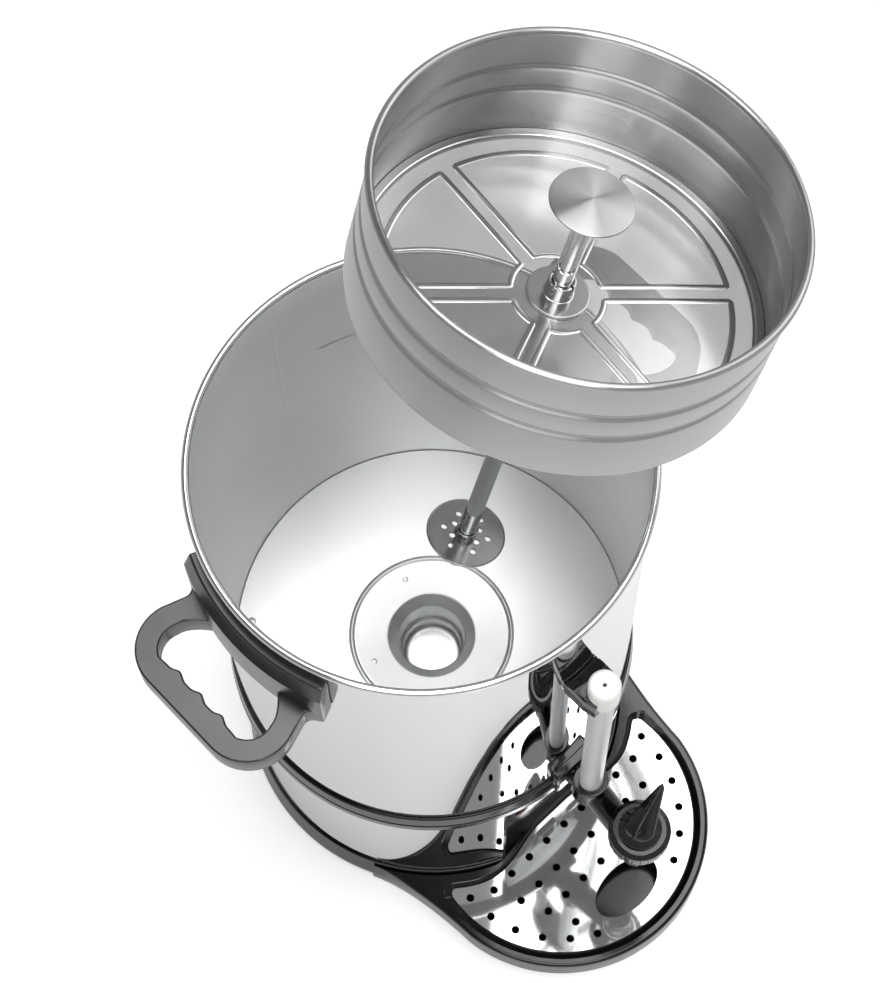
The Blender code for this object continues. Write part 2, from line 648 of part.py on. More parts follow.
def make_front_panel():
    lip_face = math.sqrt(CASING_RADIUS ** 2 - PANEL_HALF_WIDTH ** 2) - FIT
    inside = PANEL_HALF_WIDTH - PANEL_LIP
    panel = slab("front_panel", [
        (-PANEL_HALF_WIDTH, -lip_face), (-inside, -lip_face), (-inside, -PANEL_FACE), (inside, -PANEL_FACE),
        (inside, -lip_face), (PANEL_HALF_WIDTH, -lip_face), (PANEL_HALF_WIDTH, -PANEL_BACK),
        (-PANEL_HALF_WIDTH, -PANEL_BACK),
    ], LEDGE_TOP + FIT, CASING_TOP, "Z", BLACK_GLOSS)
    half_x = SWITCH_WIDTH / 2 - SWITCH_RIM
    half_z = SWITCH_LENGTH / 2 - SWITCH_RIM
    switch_hole = box(
        "switch_hole", (-half_x - FIT, -2 * PANEL_FACE, SWITCH_HEIGHT - half_z - FIT),
        (half_x + FIT, -PANEL_FACE / 2, SWITCH_HEIGHT + half_z + FIT),
    )
    cut(panel, switch_hole)
    for place in (-LAMP_OFFSET, LAMP_OFFSET):
        cut(panel, rod(
            "lamp_hole", (place, -2 * PANEL_FACE, SWITCH_HEIGHT), (place, -PANEL_FACE / 2, SWITCH_HEIGHT),
            LAMP_RADIUS + FIT,
        ))

    face = PANEL_FACE + FIT + SWITCH_FLANGE
    body = box(
        "switch_body", (-half_x, -PANEL_FACE - FIT, SWITCH_HEIGHT - half_z),
        (half_x, -PANEL_FACE + SWITCH_BODY_DEPTH, SWITCH_HEIGHT + half_z), BLACK_MATT,
    )
    flange = box(
        "switch_flange", (-SWITCH_WIDTH / 2, -face, SWITCH_HEIGHT - SWITCH_LENGTH / 2),
        (SWITCH_WIDTH / 2, -PANEL_FACE - FIT, SWITCH_HEIGHT + SWITCH_LENGTH / 2),
    )
    wall = SWITCH_WALL
    pocket = box(
        "switch_pocket", (-half_x + wall, -2 * face, SWITCH_HEIGHT - half_z + wall),
        (half_x - wall, -face + SWITCH_POCKET, SWITCH_HEIGHT + half_z - wall),
    )
    cut(join(body, flange), pocket)

    pivot = empty("rocker_pivot", (0, ROCKER_THICKNESS - face, SWITCH_HEIGHT), (ROCKER_TILT, 0, 0))
    reach = half_z - wall - SLIP - ROCKER_THICKNESS * math.sin(ROCKER_TILT)
    width = half_x - wall - SLIP
    slab("switch_rocker", [
        (ROCKER_BACK, -reach), (-ROCKER_THICKNESS, -reach), (ROCKER_DISH - ROCKER_THICKNESS, 0),
        (-ROCKER_THICKNESS, reach), (ROCKER_BACK, reach),
    ], -width, width, "X", BLACK_GLOSS, pivot)
    for index, place in enumerate((-LAMP_OFFSET, LAMP_OFFSET), 1):
        lamp = lathe(f"pilot_lamp_{index}", [
            (0, LAMP_FLANGE), (LAMP_FLANGE_RADIUS - LAMP_CHAMFER, LAMP_FLANGE), (LAMP_FLANGE_RADIUS, 0),
            (LAMP_RADIUS, 0), (LAMP_RADIUS, -LAMP_LENGTH), (0, -LAMP_LENGTH),
        ], AMBER, 20)
        lamp.location = (place, -PANEL_FACE - FIT, SWITCH_HEIGHT)
        lamp.rotation_euler = (math.radians(90), 0, 0)


def handle_loop_outlines():
    """Outer and inner plan outlines of the finger loop, for the handle on +X."""
    tip = TANK_RADIUS + LOOP_REACH
    corner = (tip - LOOP_CORNER, LOOP_HALF_WIDTH - LOOP_CORNER)
    quarter = arc(corner, LOOP_CORNER, 0, math.radians(100), 8)
    outer_half = quarter + [(TANK_RADIUS, LOOP_ROOT_HALF_WIDTH)]
    outer = outer_half + [(x, -y) for x, y in reversed(outer_half)]
    inner_corner = LOOP_CORNER - LOOP_BAR
    inner_tip = tip - LOOP_BAR
    face = TANK_RADIUS + PAD_THICKNESS
    reach = SCALLOP_PITCH * SCALLOP_RIDGES / 2
    inner_half = []
    for index in range(9):
        y = reach * index / 8
        ridge = abs(math.cos(math.pi * y / SCALLOP_PITCH)) ** 4
        inner_half.append((inner_tip - SCALLOP_DEPTH * ridge, y))
    side = LOOP_HALF_WIDTH - LOOP_BAR
    bend_centre = (inner_tip - inner_corner, side - inner_corner)
    bend = arc(bend_centre, inner_corner, math.radians(20), math.radians(100), 6)
    inner_half += bend + [(face, LOOP_ROOT_HALF_WIDTH - LOOP_BAR)]
    inner = inner_half + [(x, -y) for x, y in reversed(inner_half[1:])]
    return outer, inner


def make_handles():
    outer, inner = handle_loop_outlines()
    face = TANK_RADIUS + PAD_THICKNESS
    contact = TANK_RADIUS + FIT
    above = PAD_TOP + PAD_HEIGHT
    below = PAD_BOTTOM - PAD_HEIGHT
    for name, side in (("handle_right", 0), ("handle_left", math.pi)):
        handle = sector(name, [
            (contact, PAD_BOTTOM), (face, PAD_BOTTOM), (face, PAD_TOP - PAD_BEVEL),
            (TANK_RADIUS + PAD_TOP_THICKNESS, PAD_TOP), (contact, PAD_TOP),
        ], PAD_HALF_ANGLE, 14, BLACK_MATT)
        loop = slab(name + "_loop", outer, LOOP_TOP - LOOP_THICKNESS, LOOP_TOP)
        opening = slab(name + "_opening", inner, below, above)
        behind = lathe(
            name + "_behind", [(0, above), (contact, above), (contact, below), (0, below)], None, LARGE_STEPS,
        )
        cut(join(handle, loop), opening, behind)
        screw_foot = TANK_BORE * math.cos(HANDLE_SCREW_HEAD_RADIUS / TANK_BORE) - FIT
        for lean in (-HANDLE_SCREW_ANGLE, HANDLE_SCREW_ANGLE):
            along = Vector((math.cos(lean), math.sin(lean), 0))
            up = Vector((0, 0, HANDLE_SCREW_HEIGHT))
            depth = screw_foot + HANDLE_SCREW_LENGTH + FIT
            start = along * TANK_BORE / 2 + up
            end = along * depth + up
            cut(handle, rod(name + "_screw_hole", start, end, HANDLE_SCREW_RADIUS + FIT))
        for piece in [handle] + [step.object for step in handle.modifiers]:
            piece.rotation_euler = (0, 0, side)
        for index, lean in enumerate((-HANDLE_SCREW_ANGLE, HANDLE_SCREW_ANGLE), 1):
            screw = lathe(f"{name}_screw_{index}", [
                (0, HANDLE_SCREW_LENGTH), (HANDLE_SCREW_RADIUS, HANDLE_SCREW_LENGTH),
                (HANDLE_SCREW_RADIUS, 0), (HANDLE_SCREW_HEAD_RADIUS, 0),
                (HANDLE_SCREW_HEAD_RADIUS - HANDLE_SCREW_TAPER, -HANDLE_SCREW_HEAD), (0, -HANDLE_SCREW_HEAD),
            ], ZINC, 12)
            turn = side + lean
            screw.location = (screw_foot * math.cos(turn), screw_foot * math.sin(turn), HANDLE_SCREW_HEIGHT)
            screw.rotation_euler = (0, math.radians(90), turn)


def make_gauge():
    tube_top = GAUGE_CAP_TOP - GAUGE_CAP_CROWN - FIT
    place = (0, -GAUGE_REACH, 0)
    tube = lathe("gauge_tube", [
        (GAUGE_TUBE_RADIUS, tube_top), (GAUGE_TUBE_RADIUS, GAUGE_TUBE_BOTTOM),
        (GAUGE_TUBE_BORE, GAUGE_TUBE_BOTTOM), (GAUGE_TUBE_BORE, tube_top),
    ], CLEAR, MEDIUM_STEPS)
    tube.location = place
    grip = GAUGE_TUBE_RADIUS + FIT
    crown = GAUGE_CAP_TOP - GAUGE_CAP_CROWN
    cap = lathe("gauge_cap", [
        (GAUGE_VENT_RADIUS, GAUGE_CAP_TOP), (GAUGE_CAP_RADIUS - GAUGE_CAP_EDGE, GAUGE_CAP_TOP),
        (GAUGE_CAP_RADIUS, GAUGE_CAP_TOP - GAUGE_CAP_EDGE), (GAUGE_CAP_RADIUS, GAUGE_CAP_BOTTOM),
        (grip, GAUGE_CAP_BOTTOM), (grip, crown), (GAUGE_VENT_RADIUS, crown),
    ], WHITE, MEDIUM_STEPS)
    cap.location = place

    top = GAUGE_CAP_TOP - BRACKET_DROP
    low = top - BRACKET_HEIGHT
    bracket = box(
        "gauge_bracket", (-BRACKET_HALF_WIDTH, -GAUGE_REACH - BRACKET_NOSE, low),
        (BRACKET_HALF_WIDTH, -TANK_RADIUS + BRACKET_HALF_WIDTH, top), BLACK_GLOSS,
    )
    behind = lathe("bracket_behind", [
        (0, RIM_HEIGHT), (TANK_RADIUS + FIT, RIM_HEIGHT), (TANK_RADIUS + FIT, FLOOR_TOP), (0, FLOOR_TOP),
    ], None, LARGE_STEPS)
    cap_bore = rod(
        "cap_bore", (0, -GAUGE_REACH, GAUGE_CAP_BOTTOM - FIT), (0, -GAUGE_REACH, RIM_HEIGHT),
        GAUGE_CAP_RADIUS + FIT, None, MEDIUM_STEPS,
    )
    tube_pass = rod(
        "tube_pass", (0, -GAUGE_REACH, FLOOR_TOP), (0, -GAUGE_REACH, RIM_HEIGHT), grip, None, MEDIUM_STEPS,
    )
    cut(bracket, behind, cap_bore, tube_pass)

    seal_top = GAUGE_TUBE_BOTTOM - FIT
    seal_low = seal_top - GAUGE_SEAL_HEIGHT
    seal = lathe("gauge_seal", [
        (GAUGE_TUBE_RADIUS, seal_top), (GAUGE_TUBE_RADIUS, seal_low),
        (GAUGE_SEAL_BORE, seal_low), (GAUGE_SEAL_BORE, seal_top),
    ], SILICONE, 20)
    seal.location = place


def make_tap():
    socket_floor = GAUGE_TUBE_BOTTOM - GAUGE_SEAL_HEIGHT - 2 * FIT
    socket_top = GAUGE_TUBE_BOTTOM + TAP_SOCKET_DEPTH
    flange_front = TANK_RADIUS + FIT + TAP_FLANGE_THICKNESS
    inner_end = TANK_BORE - TAP_SHANK_INSIDE
    level = TAP_INLET_HEIGHT
    at_gauge = (0, -GAUGE_REACH, level)
    body = rod("tap_body", (0, -inner_end, level), at_gauge, TAP_SHANK_RADIUS, BLACK_GLOSS, 20)
    flange = box(
        "tap_flange", (-TAP_FLANGE_HALF_WIDTH, -flange_front, TAP_FLANGE_BOTTOM),
        (TAP_FLANGE_HALF_WIDTH, -TANK_RADIUS + TAP_FLANGE_THICKNESS, level + TAP_FLANGE_ABOVE),
    )
    behind = lathe("tap_behind", [
        (0, RIM_HEIGHT), (TANK_RADIUS + FIT, RIM_HEIGHT), (TANK_RADIUS + FIT, 0), (0, 0),
    ], None, LARGE_STEPS)
    cut(flange, behind)
    above_gauge = (0, -GAUGE_REACH, RIM_HEIGHT)
    socket = rod(
        "gauge_socket", (0, -GAUGE_REACH, TAP_FLANGE_BOTTOM), (0, -GAUGE_REACH, socket_top),
        TAP_SOCKET_RADIUS, None, MEDIUM_STEPS,
    )
    arm_end = (0, -TAP_REACH, TAP_ARM_END_HEIGHT)
    arm = rod("tap_arm", at_gauge, arm_end, TAP_ARM_RADIUS, None, 20)
    barrel_low = (0, -TAP_REACH, TAP_BARREL_BOTTOM)
    barrel = rod("tap_barrel", barrel_low, (0, -TAP_REACH, TAP_BARREL_TOP), TAP_BARREL_RADIUS, None, 28)
    spout = rod(
        "tap_spout", (0, -TAP_REACH, TAP_BARREL_BOTTOM - TAP_SPOUT_LENGTH),
        (0, -TAP_REACH, TAP_BARREL_BOTTOM + TAP_SPOUT_RADIUS / 2), TAP_SPOUT_RADIUS, None, 20,
    )
    join(body, flange, socket, arm, barrel, spout)
    channel = rod("tap_channel", (0, 0, level), at_gauge, TAP_CHANNEL_RADIUS)
    arm_channel = rod("arm_channel", at_gauge, arm_end, TAP_CHANNEL_RADIUS)
    plug_bore = rod(
        "plug_bore", (0, -TAP_REACH, PLUG_BOTTOM - FIT), (0, -TAP_REACH, RIM_HEIGHT),
        PLUG_RADIUS + FIT, None, MEDIUM_STEPS,
    )
    outlet_top = (0, -TAP_REACH, PLUG_BOTTOM + PLUG_RADIUS / 2)
    outlet = rod("outlet_bore", (0, -TAP_REACH, 0), outlet_top, TAP_SPOUT_BORE)
    tube_bore = rod(
        "tube_bore", (0, -GAUGE_REACH, socket_floor), above_gauge,
        GAUGE_TUBE_RADIUS + FIT, None, MEDIUM_STEPS,
    )
    gauge_channel = rod("gauge_channel", at_gauge, above_gauge, GAUGE_CHANNEL_RADIUS)
    cut(body, channel, arm_channel, plug_bore, outlet, tube_bore, gauge_channel)

    gasket_out = TANK_BORE * math.cos(NUT_RADIUS / TANK_BORE) - FIT
    washer = TAP_SHANK_RADIUS + FIT
    gasket = lathe("tap_gasket", [
        (NUT_RADIUS, 0), (NUT_RADIUS, -GASKET_THICKNESS), (washer, -GASKET_THICKNESS), (washer, 0),
    ], SILICONE, 24)
    gasket.location = (0, -gasket_out, level)
    gasket.rotation_euler = (math.radians(90), 0, 0)
    nut_face = gasket_out - GASKET_THICKNESS - FIT
    nut = rod(
        "tap_nut", (0, -nut_face, level), (0, NUT_THICKNESS - nut_face, level), NUT_RADIUS, POLISHED, 6,
    )
    nut_bore = rod("nut_bore", (0, -RIM_RADIUS, level), (0, 0, level), washer, None, 20)
    cut(nut, nut_bore)

    skirt_low = TAP_BARREL_TOP - BONNET_SKIRT
    top_low = TAP_BARREL_TOP + FIT
    bonnet_top = top_low + BONNET_TOP
    spindle_hole = SPINDLE_RADIUS + FIT
    bonnet = lathe("tap_bonnet", [
        (spindle_hole, bonnet_top), (BONNET_RADIUS - BONNET_CHAMFER, bonnet_top),
        (BONNET_RADIUS, bonnet_top - BONNET_CHAMFER), (BONNET_RADIUS, skirt_low),
        (TAP_BARREL_RADIUS + FIT, skirt_low), (TAP_BARREL_RADIUS + FIT, top_low), (spindle_hole, top_low),
    ], BLACK_GLOSS, 28)
    bonnet.location = (0, -TAP_REACH, 0)

    lever_low = bonnet_top + FIT
    socket_end = lever_low + LEVER_SOCKET
    pivot = empty("tap_pivot", (0, -TAP_REACH, 0), (0, 0, LEVER_ANGLE))
    plug = lathe("tap_plug", [
        (0, socket_end - FIT), (SPINDLE_RADIUS, socket_end - FIT), (SPINDLE_RADIUS, TAP_BARREL_TOP - FIT),
        (PLUG_RADIUS, TAP_BARREL_TOP - FIT), (PLUG_RADIUS, PLUG_BOTTOM), (0, PLUG_BOTTOM),
    ], WHITE, 24, pivot)
    port_level = PLUG_BOTTOM + PLUG_PORT_RISE
    past = TAP_CHANNEL_RADIUS / 2
    port_end = (0, -past, port_level)
    port = rod("plug_port", (0, RIM_RADIUS, port_level), port_end, PLUG_PORT_RADIUS, None, 12, pivot)
    drain_end = (0, 0, port_level + past / 2)
    drain = rod("plug_drain", (0, 0, 0), drain_end, TAP_CHANNEL_RADIUS, None, 12, pivot)
    cut(plug, port, drain)
    hub_top = lever_low + LEVER_HUB_HEIGHT
    shoulder = lever_low + LEVER_HUB_SIDE
    lever = lathe("tap_lever", [
        (0, hub_top), (LEVER_HUB_TOP_RADIUS, hub_top), (LEVER_HUB_RADIUS, shoulder),
        (LEVER_HUB_RADIUS, lever_low), (0, lever_low),
    ], BLACK_GLOSS, MEDIUM_STEPS, pivot)
    fin = slab("lever_fin", [
        (-LEVER_TAIL, shoulder - FIT), (0, shoulder - FIT), (LEVER_REACH, shoulder + LEVER_RISE / 2),
        (LEVER_REACH, hub_top + LEVER_RISE), (0, hub_top + LEVER_RISE / 2), (-LEVER_TAIL, hub_top - FIT),
    ], -LEVER_THICKNESS / 2, LEVER_THICKNESS / 2, "Y", None, pivot)
    lever_bore = rod("lever_bore", (0, 0, 0), (0, 0, socket_end), SPINDLE_RADIUS + FIT, None, 16, pivot)
    cut(join(lever, fin), lever_bore)


def make_brewing_set():
    """The riser, basket and spreader, built upright in the riser's own frame and then leant over."""
    foot = (LIFT_ASIDE, -LIFT_FORWARD, RIM_HEIGHT - LIFT_DROP)
    lean = empty("brewing_set", foot, (0, LIFT_LEAN, LIFT_LEAN_HEADING))
    lathe("riser_tube", [
        (RISER_RADIUS, RISER_LENGTH), (RISER_RADIUS, 0), (RISER_BORE, 0), (RISER_BORE, RISER_LENGTH),
    ], POLISHED, 20, lean)
    grip = RISER_RADIUS + FIT
    disc_top = VALVE_DISC_HEIGHT + VALVE_DISC_SHEET
    disc = lathe("valve_disc", [
        (VALVE_COLLAR_RADIUS, disc_top + VALVE_COLLAR_LENGTH), (VALVE_COLLAR_RADIUS, disc_top),
        (VALVE_DISC_RADIUS, disc_top - VALVE_DISC_SHEET),
        (VALVE_DISC_RADIUS, VALVE_DISC_HEIGHT - VALVE_DISC_SHEET),
        (grip, VALVE_DISC_HEIGHT), (grip, disc_top + VALVE_COLLAR_LENGTH),
    ], SATIN, 28, lean)
    half_step = math.pi / VALVE_HOLE_COUNT
    places = arc((0, 0), VALVE_OUTER_HOLES, 0, math.tau, VALVE_HOLE_COUNT)[:-1]
    places += arc((0, 0), VALVE_INNER_HOLES, half_step, math.tau + half_step, VALVE_HOLE_COUNT)[:-1]
    cut(disc, holes("valve_holes", places, VALVE_HOLE_RADIUS, 0, RISER_LENGTH, 8, lean))

    hub_low = BASKET_HEIGHT + BASKET_SHEET + 2 * FIT
    stop_top = hub_low - FIT
    lathe("riser_stop", [
        (STOP_RADIUS, stop_top), (STOP_RADIUS, stop_top - STOP_LENGTH),
        (grip, stop_top - STOP_LENGTH), (grip, stop_top),
    ], SATIN, 20, lean)

    slide = RISER_RADIUS + SHAFT_FIT
    hub_top = hub_low + HUB_SHEET
    lathe("basket_hub", [
        (HUB_SLEEVE_RADIUS, hub_top + HUB_SLEEVE_LENGTH), (HUB_SLEEVE_RADIUS, hub_top), (HUB_RADIUS, hub_top),
        (HUB_RADIUS, hub_low), (slide, hub_low), (slide, hub_top + HUB_SLEEVE_LENGTH),
    ], SATIN, 24, lean)

    roll = (BASKET_WALL, BASKET_RIM - BASKET_ROLL / 2)
    end = math.tau - math.acos((BASKET_BORE - BASKET_WALL) / (BASKET_ROLL / 2))
    outside = [(BASKET_WALL, BASKET_HEIGHT - BASKET_SHEET)]
    inside = []
    for drop in (BASKET_LOWER_BEAD, BASKET_UPPER_BEAD):
        for step, depth in ((-0.5, 0), (0, BASKET_BEAD_DEPTH), (0.5, 0)):
            level = BASKET_RIM - drop + step * BASKET_BEAD_WIDTH
            outside.append((BASKET_WALL - depth, level))
            inside.append((BASKET_BORE - depth, level))
    lip = BASKET_BORE - BASKET_LIP
    profile = outside + arc(roll, BASKET_ROLL / 2, math.radians(-90), end, 7) + list(reversed(inside))
    profile += [(BASKET_BORE, BASKET_HEIGHT), (lip, BASKET_HEIGHT), (lip, BASKET_HEIGHT - BASKET_SHEET)]
    lathe("basket_wall", profile, BRUSHED, BASKET_STEPS, lean)

    floor_low = BASKET_HEIGHT + FIT
    floor_top = floor_low + BASKET_SHEET
    hole = STOP_RADIUS + SLIP
    bottom = lathe("basket_bottom", [
        (BASKET_BORE - FIT, floor_top), (BASKET_BORE - FIT, floor_low), (hole, floor_low), (hole, floor_top),
    ], BRUSHED, BASKET_STEPS, lean)
    for index in range(BOTTOM_RIBS):
        rib = box(
            f"bottom_rib_{index}", (RIB_START, -RIB_WIDTH / 2, floor_low + FIT),
            (RIB_END, RIB_WIDTH / 2, floor_top + RIB_HEIGHT), None, lean,
        )
        rib.rotation_euler = (0, 0, BOTTOM_RIB_TURN + math.tau * index / BOTTOM_RIBS)
        join(bottom, rib)
    between_ribs = math.tau / BOTTOM_RIBS
    drains = []
    for row in range(BOTTOM_HOLE_ROWS):
        radius = RIB_START + (RIB_END - RIB_START) * (row + 0.5) / BOTTOM_HOLE_ROWS
        rib_half_angle = math.asin(RIB_WIDTH / 2 / radius)
        count = BOTTOM_FIRST_ROW_HOLES + row
        pitch = (between_ribs - 2 * rib_half_angle) / count
        for index in range(BOTTOM_RIBS):
            first = BOTTOM_RIB_TURN + between_ribs * index + rib_half_angle + pitch / 2
            drains += arc((0, 0), radius, first, first + pitch * (count - 1), count - 1)
    cut(bottom, holes("bottom_holes", drains, BOTTOM_HOLE_RADIUS, 0, BASKET_RIM, 6, lean))

    dome_low = RISER_LENGTH + FIT
    socket = RISER_RADIUS + FIT
    boss = socket + SPREADER_SOCKET_WALL
    crown = dome_low + 2 * SPREADER_SHEET
    edge = crown - SPREADER_DOME
    under = SPREADER_RADIUS - SPREADER_SHEET
    lathe("spreader_cap", [
        (0, crown), (SPREADER_RADIUS, edge + SPREADER_SHEET), (SPREADER_RADIUS, edge), (under, edge),
        (boss, crown - SPREADER_SHEET - SPREADER_DOME * boss / SPREADER_RADIUS),
        (boss, dome_low - SPREADER_SOCKET_LENGTH), (socket, dome_low - SPREADER_SOCKET_LENGTH),
        (socket, dome_low), (0, dome_low),
    ], SATIN, 28, lean)


def grid_outline(grow):
    """Plan of the drip grid, moved outwards by grow: a round plate cut back round the base and the panel."""
    radius = GRID_RADIUS + grow
    centre = (0, -TRAY_CENTRE)
    base = FOOT_RING_RADIUS + FIT + TRAY_INNER_RIM - grow
    tongue = TRAY_TONGUE_HALF_WIDTH - TRAY_INNER_RIM + grow
    back = PANEL_FACE + FIT + TRAY_INNER_RIM - grow
    meet_y = (radius ** 2 - base ** 2 - TRAY_CENTRE ** 2) / (2 * TRAY_CENTRE)
    meet_x = math.sqrt(base ** 2 - meet_y ** 2)
    end = math.atan2(meet_y - centre[1], meet_x)
    start = -math.pi - end
    front = arc(centre, radius, start, end, 36)
    first = math.atan2(meet_x, -meet_y)
    last = math.asin(tongue / base)
    inner = [from_front(base, first + (last - first) * index / 6) for index in range(1, 7)]
    inner += [(tongue, -back)]
    return front + inner + [(-x, y) for x, y in reversed(inner)]


def make_drip_tray():
    reach = FOOT_RING_RADIUS + SLIP
    tip = from_front(reach + TRAY_TIP_WIDTH, TRAY_TIP_ANGLE)
    toward_tip = math.atan2(tip[0], -tip[1] - TRAY_CENTRE)
    flank = toward_tip - math.acos(TRAY_RADIUS / math.hypot(tip[0], tip[1] + TRAY_CENTRE))
    ahead = math.radians(-90)
    front = arc((0, -TRAY_CENTRE), TRAY_RADIUS, ahead - flank, ahead + flank, 36)
    tongue = math.asin(TRAY_TONGUE_HALF_WIDTH / reach)
    sweep = tongue - TRAY_TIP_ANGLE
    inner = [from_front(reach, TRAY_TIP_ANGLE + sweep * index / 10) for index in range(11)]
    inner += [(TRAY_TONGUE_HALF_WIDTH, -PANEL_FACE - SLIP)]
    outline = [(-tip[0], tip[1])] + front + [tip] + inner + [(-x, y) for x, y in reversed(inner)]
    tray = slab("drip_tray", outline, 0, TRAY_HEIGHT, "Z", BLACK_GLOSS)
    recess = slab("grid_recess", grid_outline(SLIP), GRID_SEAT - FIT, TRAY_HEIGHT + TRAY_FLOOR)
    well = slab("tray_well", grid_outline(-TRAY_LEDGE), TRAY_FLOOR, TRAY_HEIGHT + TRAY_FLOOR)
    cut(tray, recess, well)

    grid = slab("drip_grid", grid_outline(0), GRID_SEAT, GRID_SEAT + GRID_SHEET, "Z", POLISHED)
    oval_y = -TAP_REACH
    places = []
    for row in range(GRID_ROWS):
        y = -TRAY_CENTRE - GRID_FIRST_ROW - row * GRID_ROW_PITCH
        shift = (row % 2) / 2
        for column in range(-5, 6):
            x = (column + shift) * GRID_HOLE_PITCH
            wide = GRID_OVAL_HALF_WIDTH + GRID_OVAL_MARGIN
            deep = GRID_OVAL_HALF_DEPTH + GRID_OVAL_MARGIN
            clear = (x / wide) ** 2 + ((y - oval_y) / deep) ** 2 > 1
            if clear and math.hypot(x, y + TRAY_CENTRE) < GRID_RADIUS - GRID_FIELD_MARGIN:
                places.append((x, y))
    for step in range(2, 8):
        for side in (-1, 1):
            x, y = from_front(GRID_RADIUS - GRID_ARC_INSET, side * step * GRID_ARC_STEP)
            places.append((x, y - TRAY_CENTRE))
    circle = arc((0, 0), 1, 0, math.tau, 28)[:-1]
    oval = slab("grid_oval", [
        (GRID_OVAL_HALF_WIDTH * x, oval_y + GRID_OVAL_HALF_DEPTH * y) for x, y in circle
    ], 0, RIM_HEIGHT)
    cut(grid, holes("grid_holes", places, GRID_HOLE_RADIUS, 0, RIM_HEIGHT, 8), oval)


def make_inside_of_base():
    top = WELL_UNDERSIDE - FIT
    low = top - PUMP_HEATER_HEIGHT
    lathe("pump_heater", [
        (0, top), (PUMP_HEATER_RADIUS, top), (PUMP_HEATER_RADIUS, low), (0, low),
    ], ZINC, 24)
    seat = floor_underside(WARMER_RADIUS - WARMER_TUBE_RADIUS) - FIT
    turn = math.radians(90)
    tube = arc((WARMER_RADIUS, seat - WARMER_TUBE_RADIUS), WARMER_TUBE_RADIUS, turn, turn + math.tau, 8)
    lathe("warmer_element", tube[:-1], ZINC, 36)
    clear = WARMER_RADIUS + WARMER_TUBE_RADIUS + CONTROL_GAP
    for name, radius, height, side in (
        ("thermostat", THERMOSTAT_RADIUS, THERMOSTAT_HEIGHT, 1),
        ("thermal_cutout", CUTOUT_RADIUS, CUTOUT_HEIGHT, -1),
    ):
        piece = lathe(name, [(0, 0), (radius, 0), (radius, -height), (0, -height)], CERAMIC, 20)
        piece.location = (side * (clear + radius), 0, floor_underside(clear) - FIT)
    low = BOTTOM_PLATE_TOP + FIT
    box(
        "terminal_block", (-TERMINAL_WIDTH / 2, TERMINAL_PLACE - TERMINAL_DEPTH / 2, low),
        (TERMINAL_WIDTH / 2, TERMINAL_PLACE + TERMINAL_DEPTH / 2, low + TERMINAL_HEIGHT), WHITE,
    )
    gland = lathe("cable_gland", [
        (GLAND_BORE, GLAND_HEAD_LENGTH), (GLAND_HEAD_RADIUS - GLAND_CHAMFER, GLAND_HEAD_LENGTH),
        (GLAND_HEAD_RADIUS, GLAND_HEAD_LENGTH - GLAND_CHAMFER),
        (GLAND_HEAD_RADIUS, 0), (GLAND_RADIUS, 0), (GLAND_RADIUS, -GLAND_LENGTH), (GLAND_BORE, -GLAND_LENGTH),
    ], BLACK_MATT, 20)
    gland.location = (0, CASING_RADIUS + FIT, GLAND_HEIGHT)
    gland.rotation_euler = (math.radians(-90), 0, 0)
    inside = (CASING_RADIUS - CASING_WALL) * math.cos(GLAND_HEAD_RADIUS / CASING_RADIUS) - FIT
    nut = lathe("gland_nut", [
        (GLAND_HEAD_RADIUS, 0), (GLAND_HEAD_RADIUS, -GLAND_NUT_LENGTH),
        (GLAND_RADIUS + FIT, -GLAND_NUT_LENGTH), (GLAND_RADIUS + FIT, 0),
    ], BLACK_MATT, 20)
    nut.location = (0, inside, GLAND_HEIGHT)
    nut.rotation_euler = (math.radians(-90), 0, 0)


make_tank_shell()
make_tank_floor()
make_trim_ring()
make_base()
make_front_panel()
make_handles()
make_gauge()
make_tap()
make_brewing_set()
make_drip_tray()
make_inside_of_base()
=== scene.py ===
import math

import bpy
from mathutils import Matrix, Vector
from mathutils.geometry import tessellate_polygon


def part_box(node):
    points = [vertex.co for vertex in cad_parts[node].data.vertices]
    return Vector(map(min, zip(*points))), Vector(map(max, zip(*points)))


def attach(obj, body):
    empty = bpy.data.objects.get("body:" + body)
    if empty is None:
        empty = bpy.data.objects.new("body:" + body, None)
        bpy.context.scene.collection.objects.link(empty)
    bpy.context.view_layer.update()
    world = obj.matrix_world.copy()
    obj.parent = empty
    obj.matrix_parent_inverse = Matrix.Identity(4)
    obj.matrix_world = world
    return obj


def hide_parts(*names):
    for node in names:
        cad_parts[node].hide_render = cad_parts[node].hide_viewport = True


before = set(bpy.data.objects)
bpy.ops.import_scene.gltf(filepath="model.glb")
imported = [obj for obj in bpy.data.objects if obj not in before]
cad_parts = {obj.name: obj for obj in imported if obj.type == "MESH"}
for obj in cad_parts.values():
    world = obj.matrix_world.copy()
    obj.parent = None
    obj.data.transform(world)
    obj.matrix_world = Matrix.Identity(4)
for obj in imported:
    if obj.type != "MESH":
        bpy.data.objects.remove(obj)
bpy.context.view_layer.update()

# The camera stands above the urn's front left shoulder and looks steeply down into the open tank.
# Its focal length fills the height of an 880 by 983 picture from there.
camera_right = Vector((0.725544, -0.687999, -0.015568))
camera_up = Vector((0.649419, 0.677024, 0.346256))
camera = bpy.data.objects.new("camera", bpy.data.cameras.new("camera"))
camera.data.sensor_width = 36
camera.data.lens = 98.88
camera_turn = Matrix((camera_right, camera_up, camera_right.cross(camera_up))).transposed()
camera.matrix_world = Matrix.Translation((-0.346697, -0.413177, 1.903080)) @ camera_turn.to_4x4()
bpy.context.scene.collection.objects.link(camera)
bpy.context.scene.camera = camera


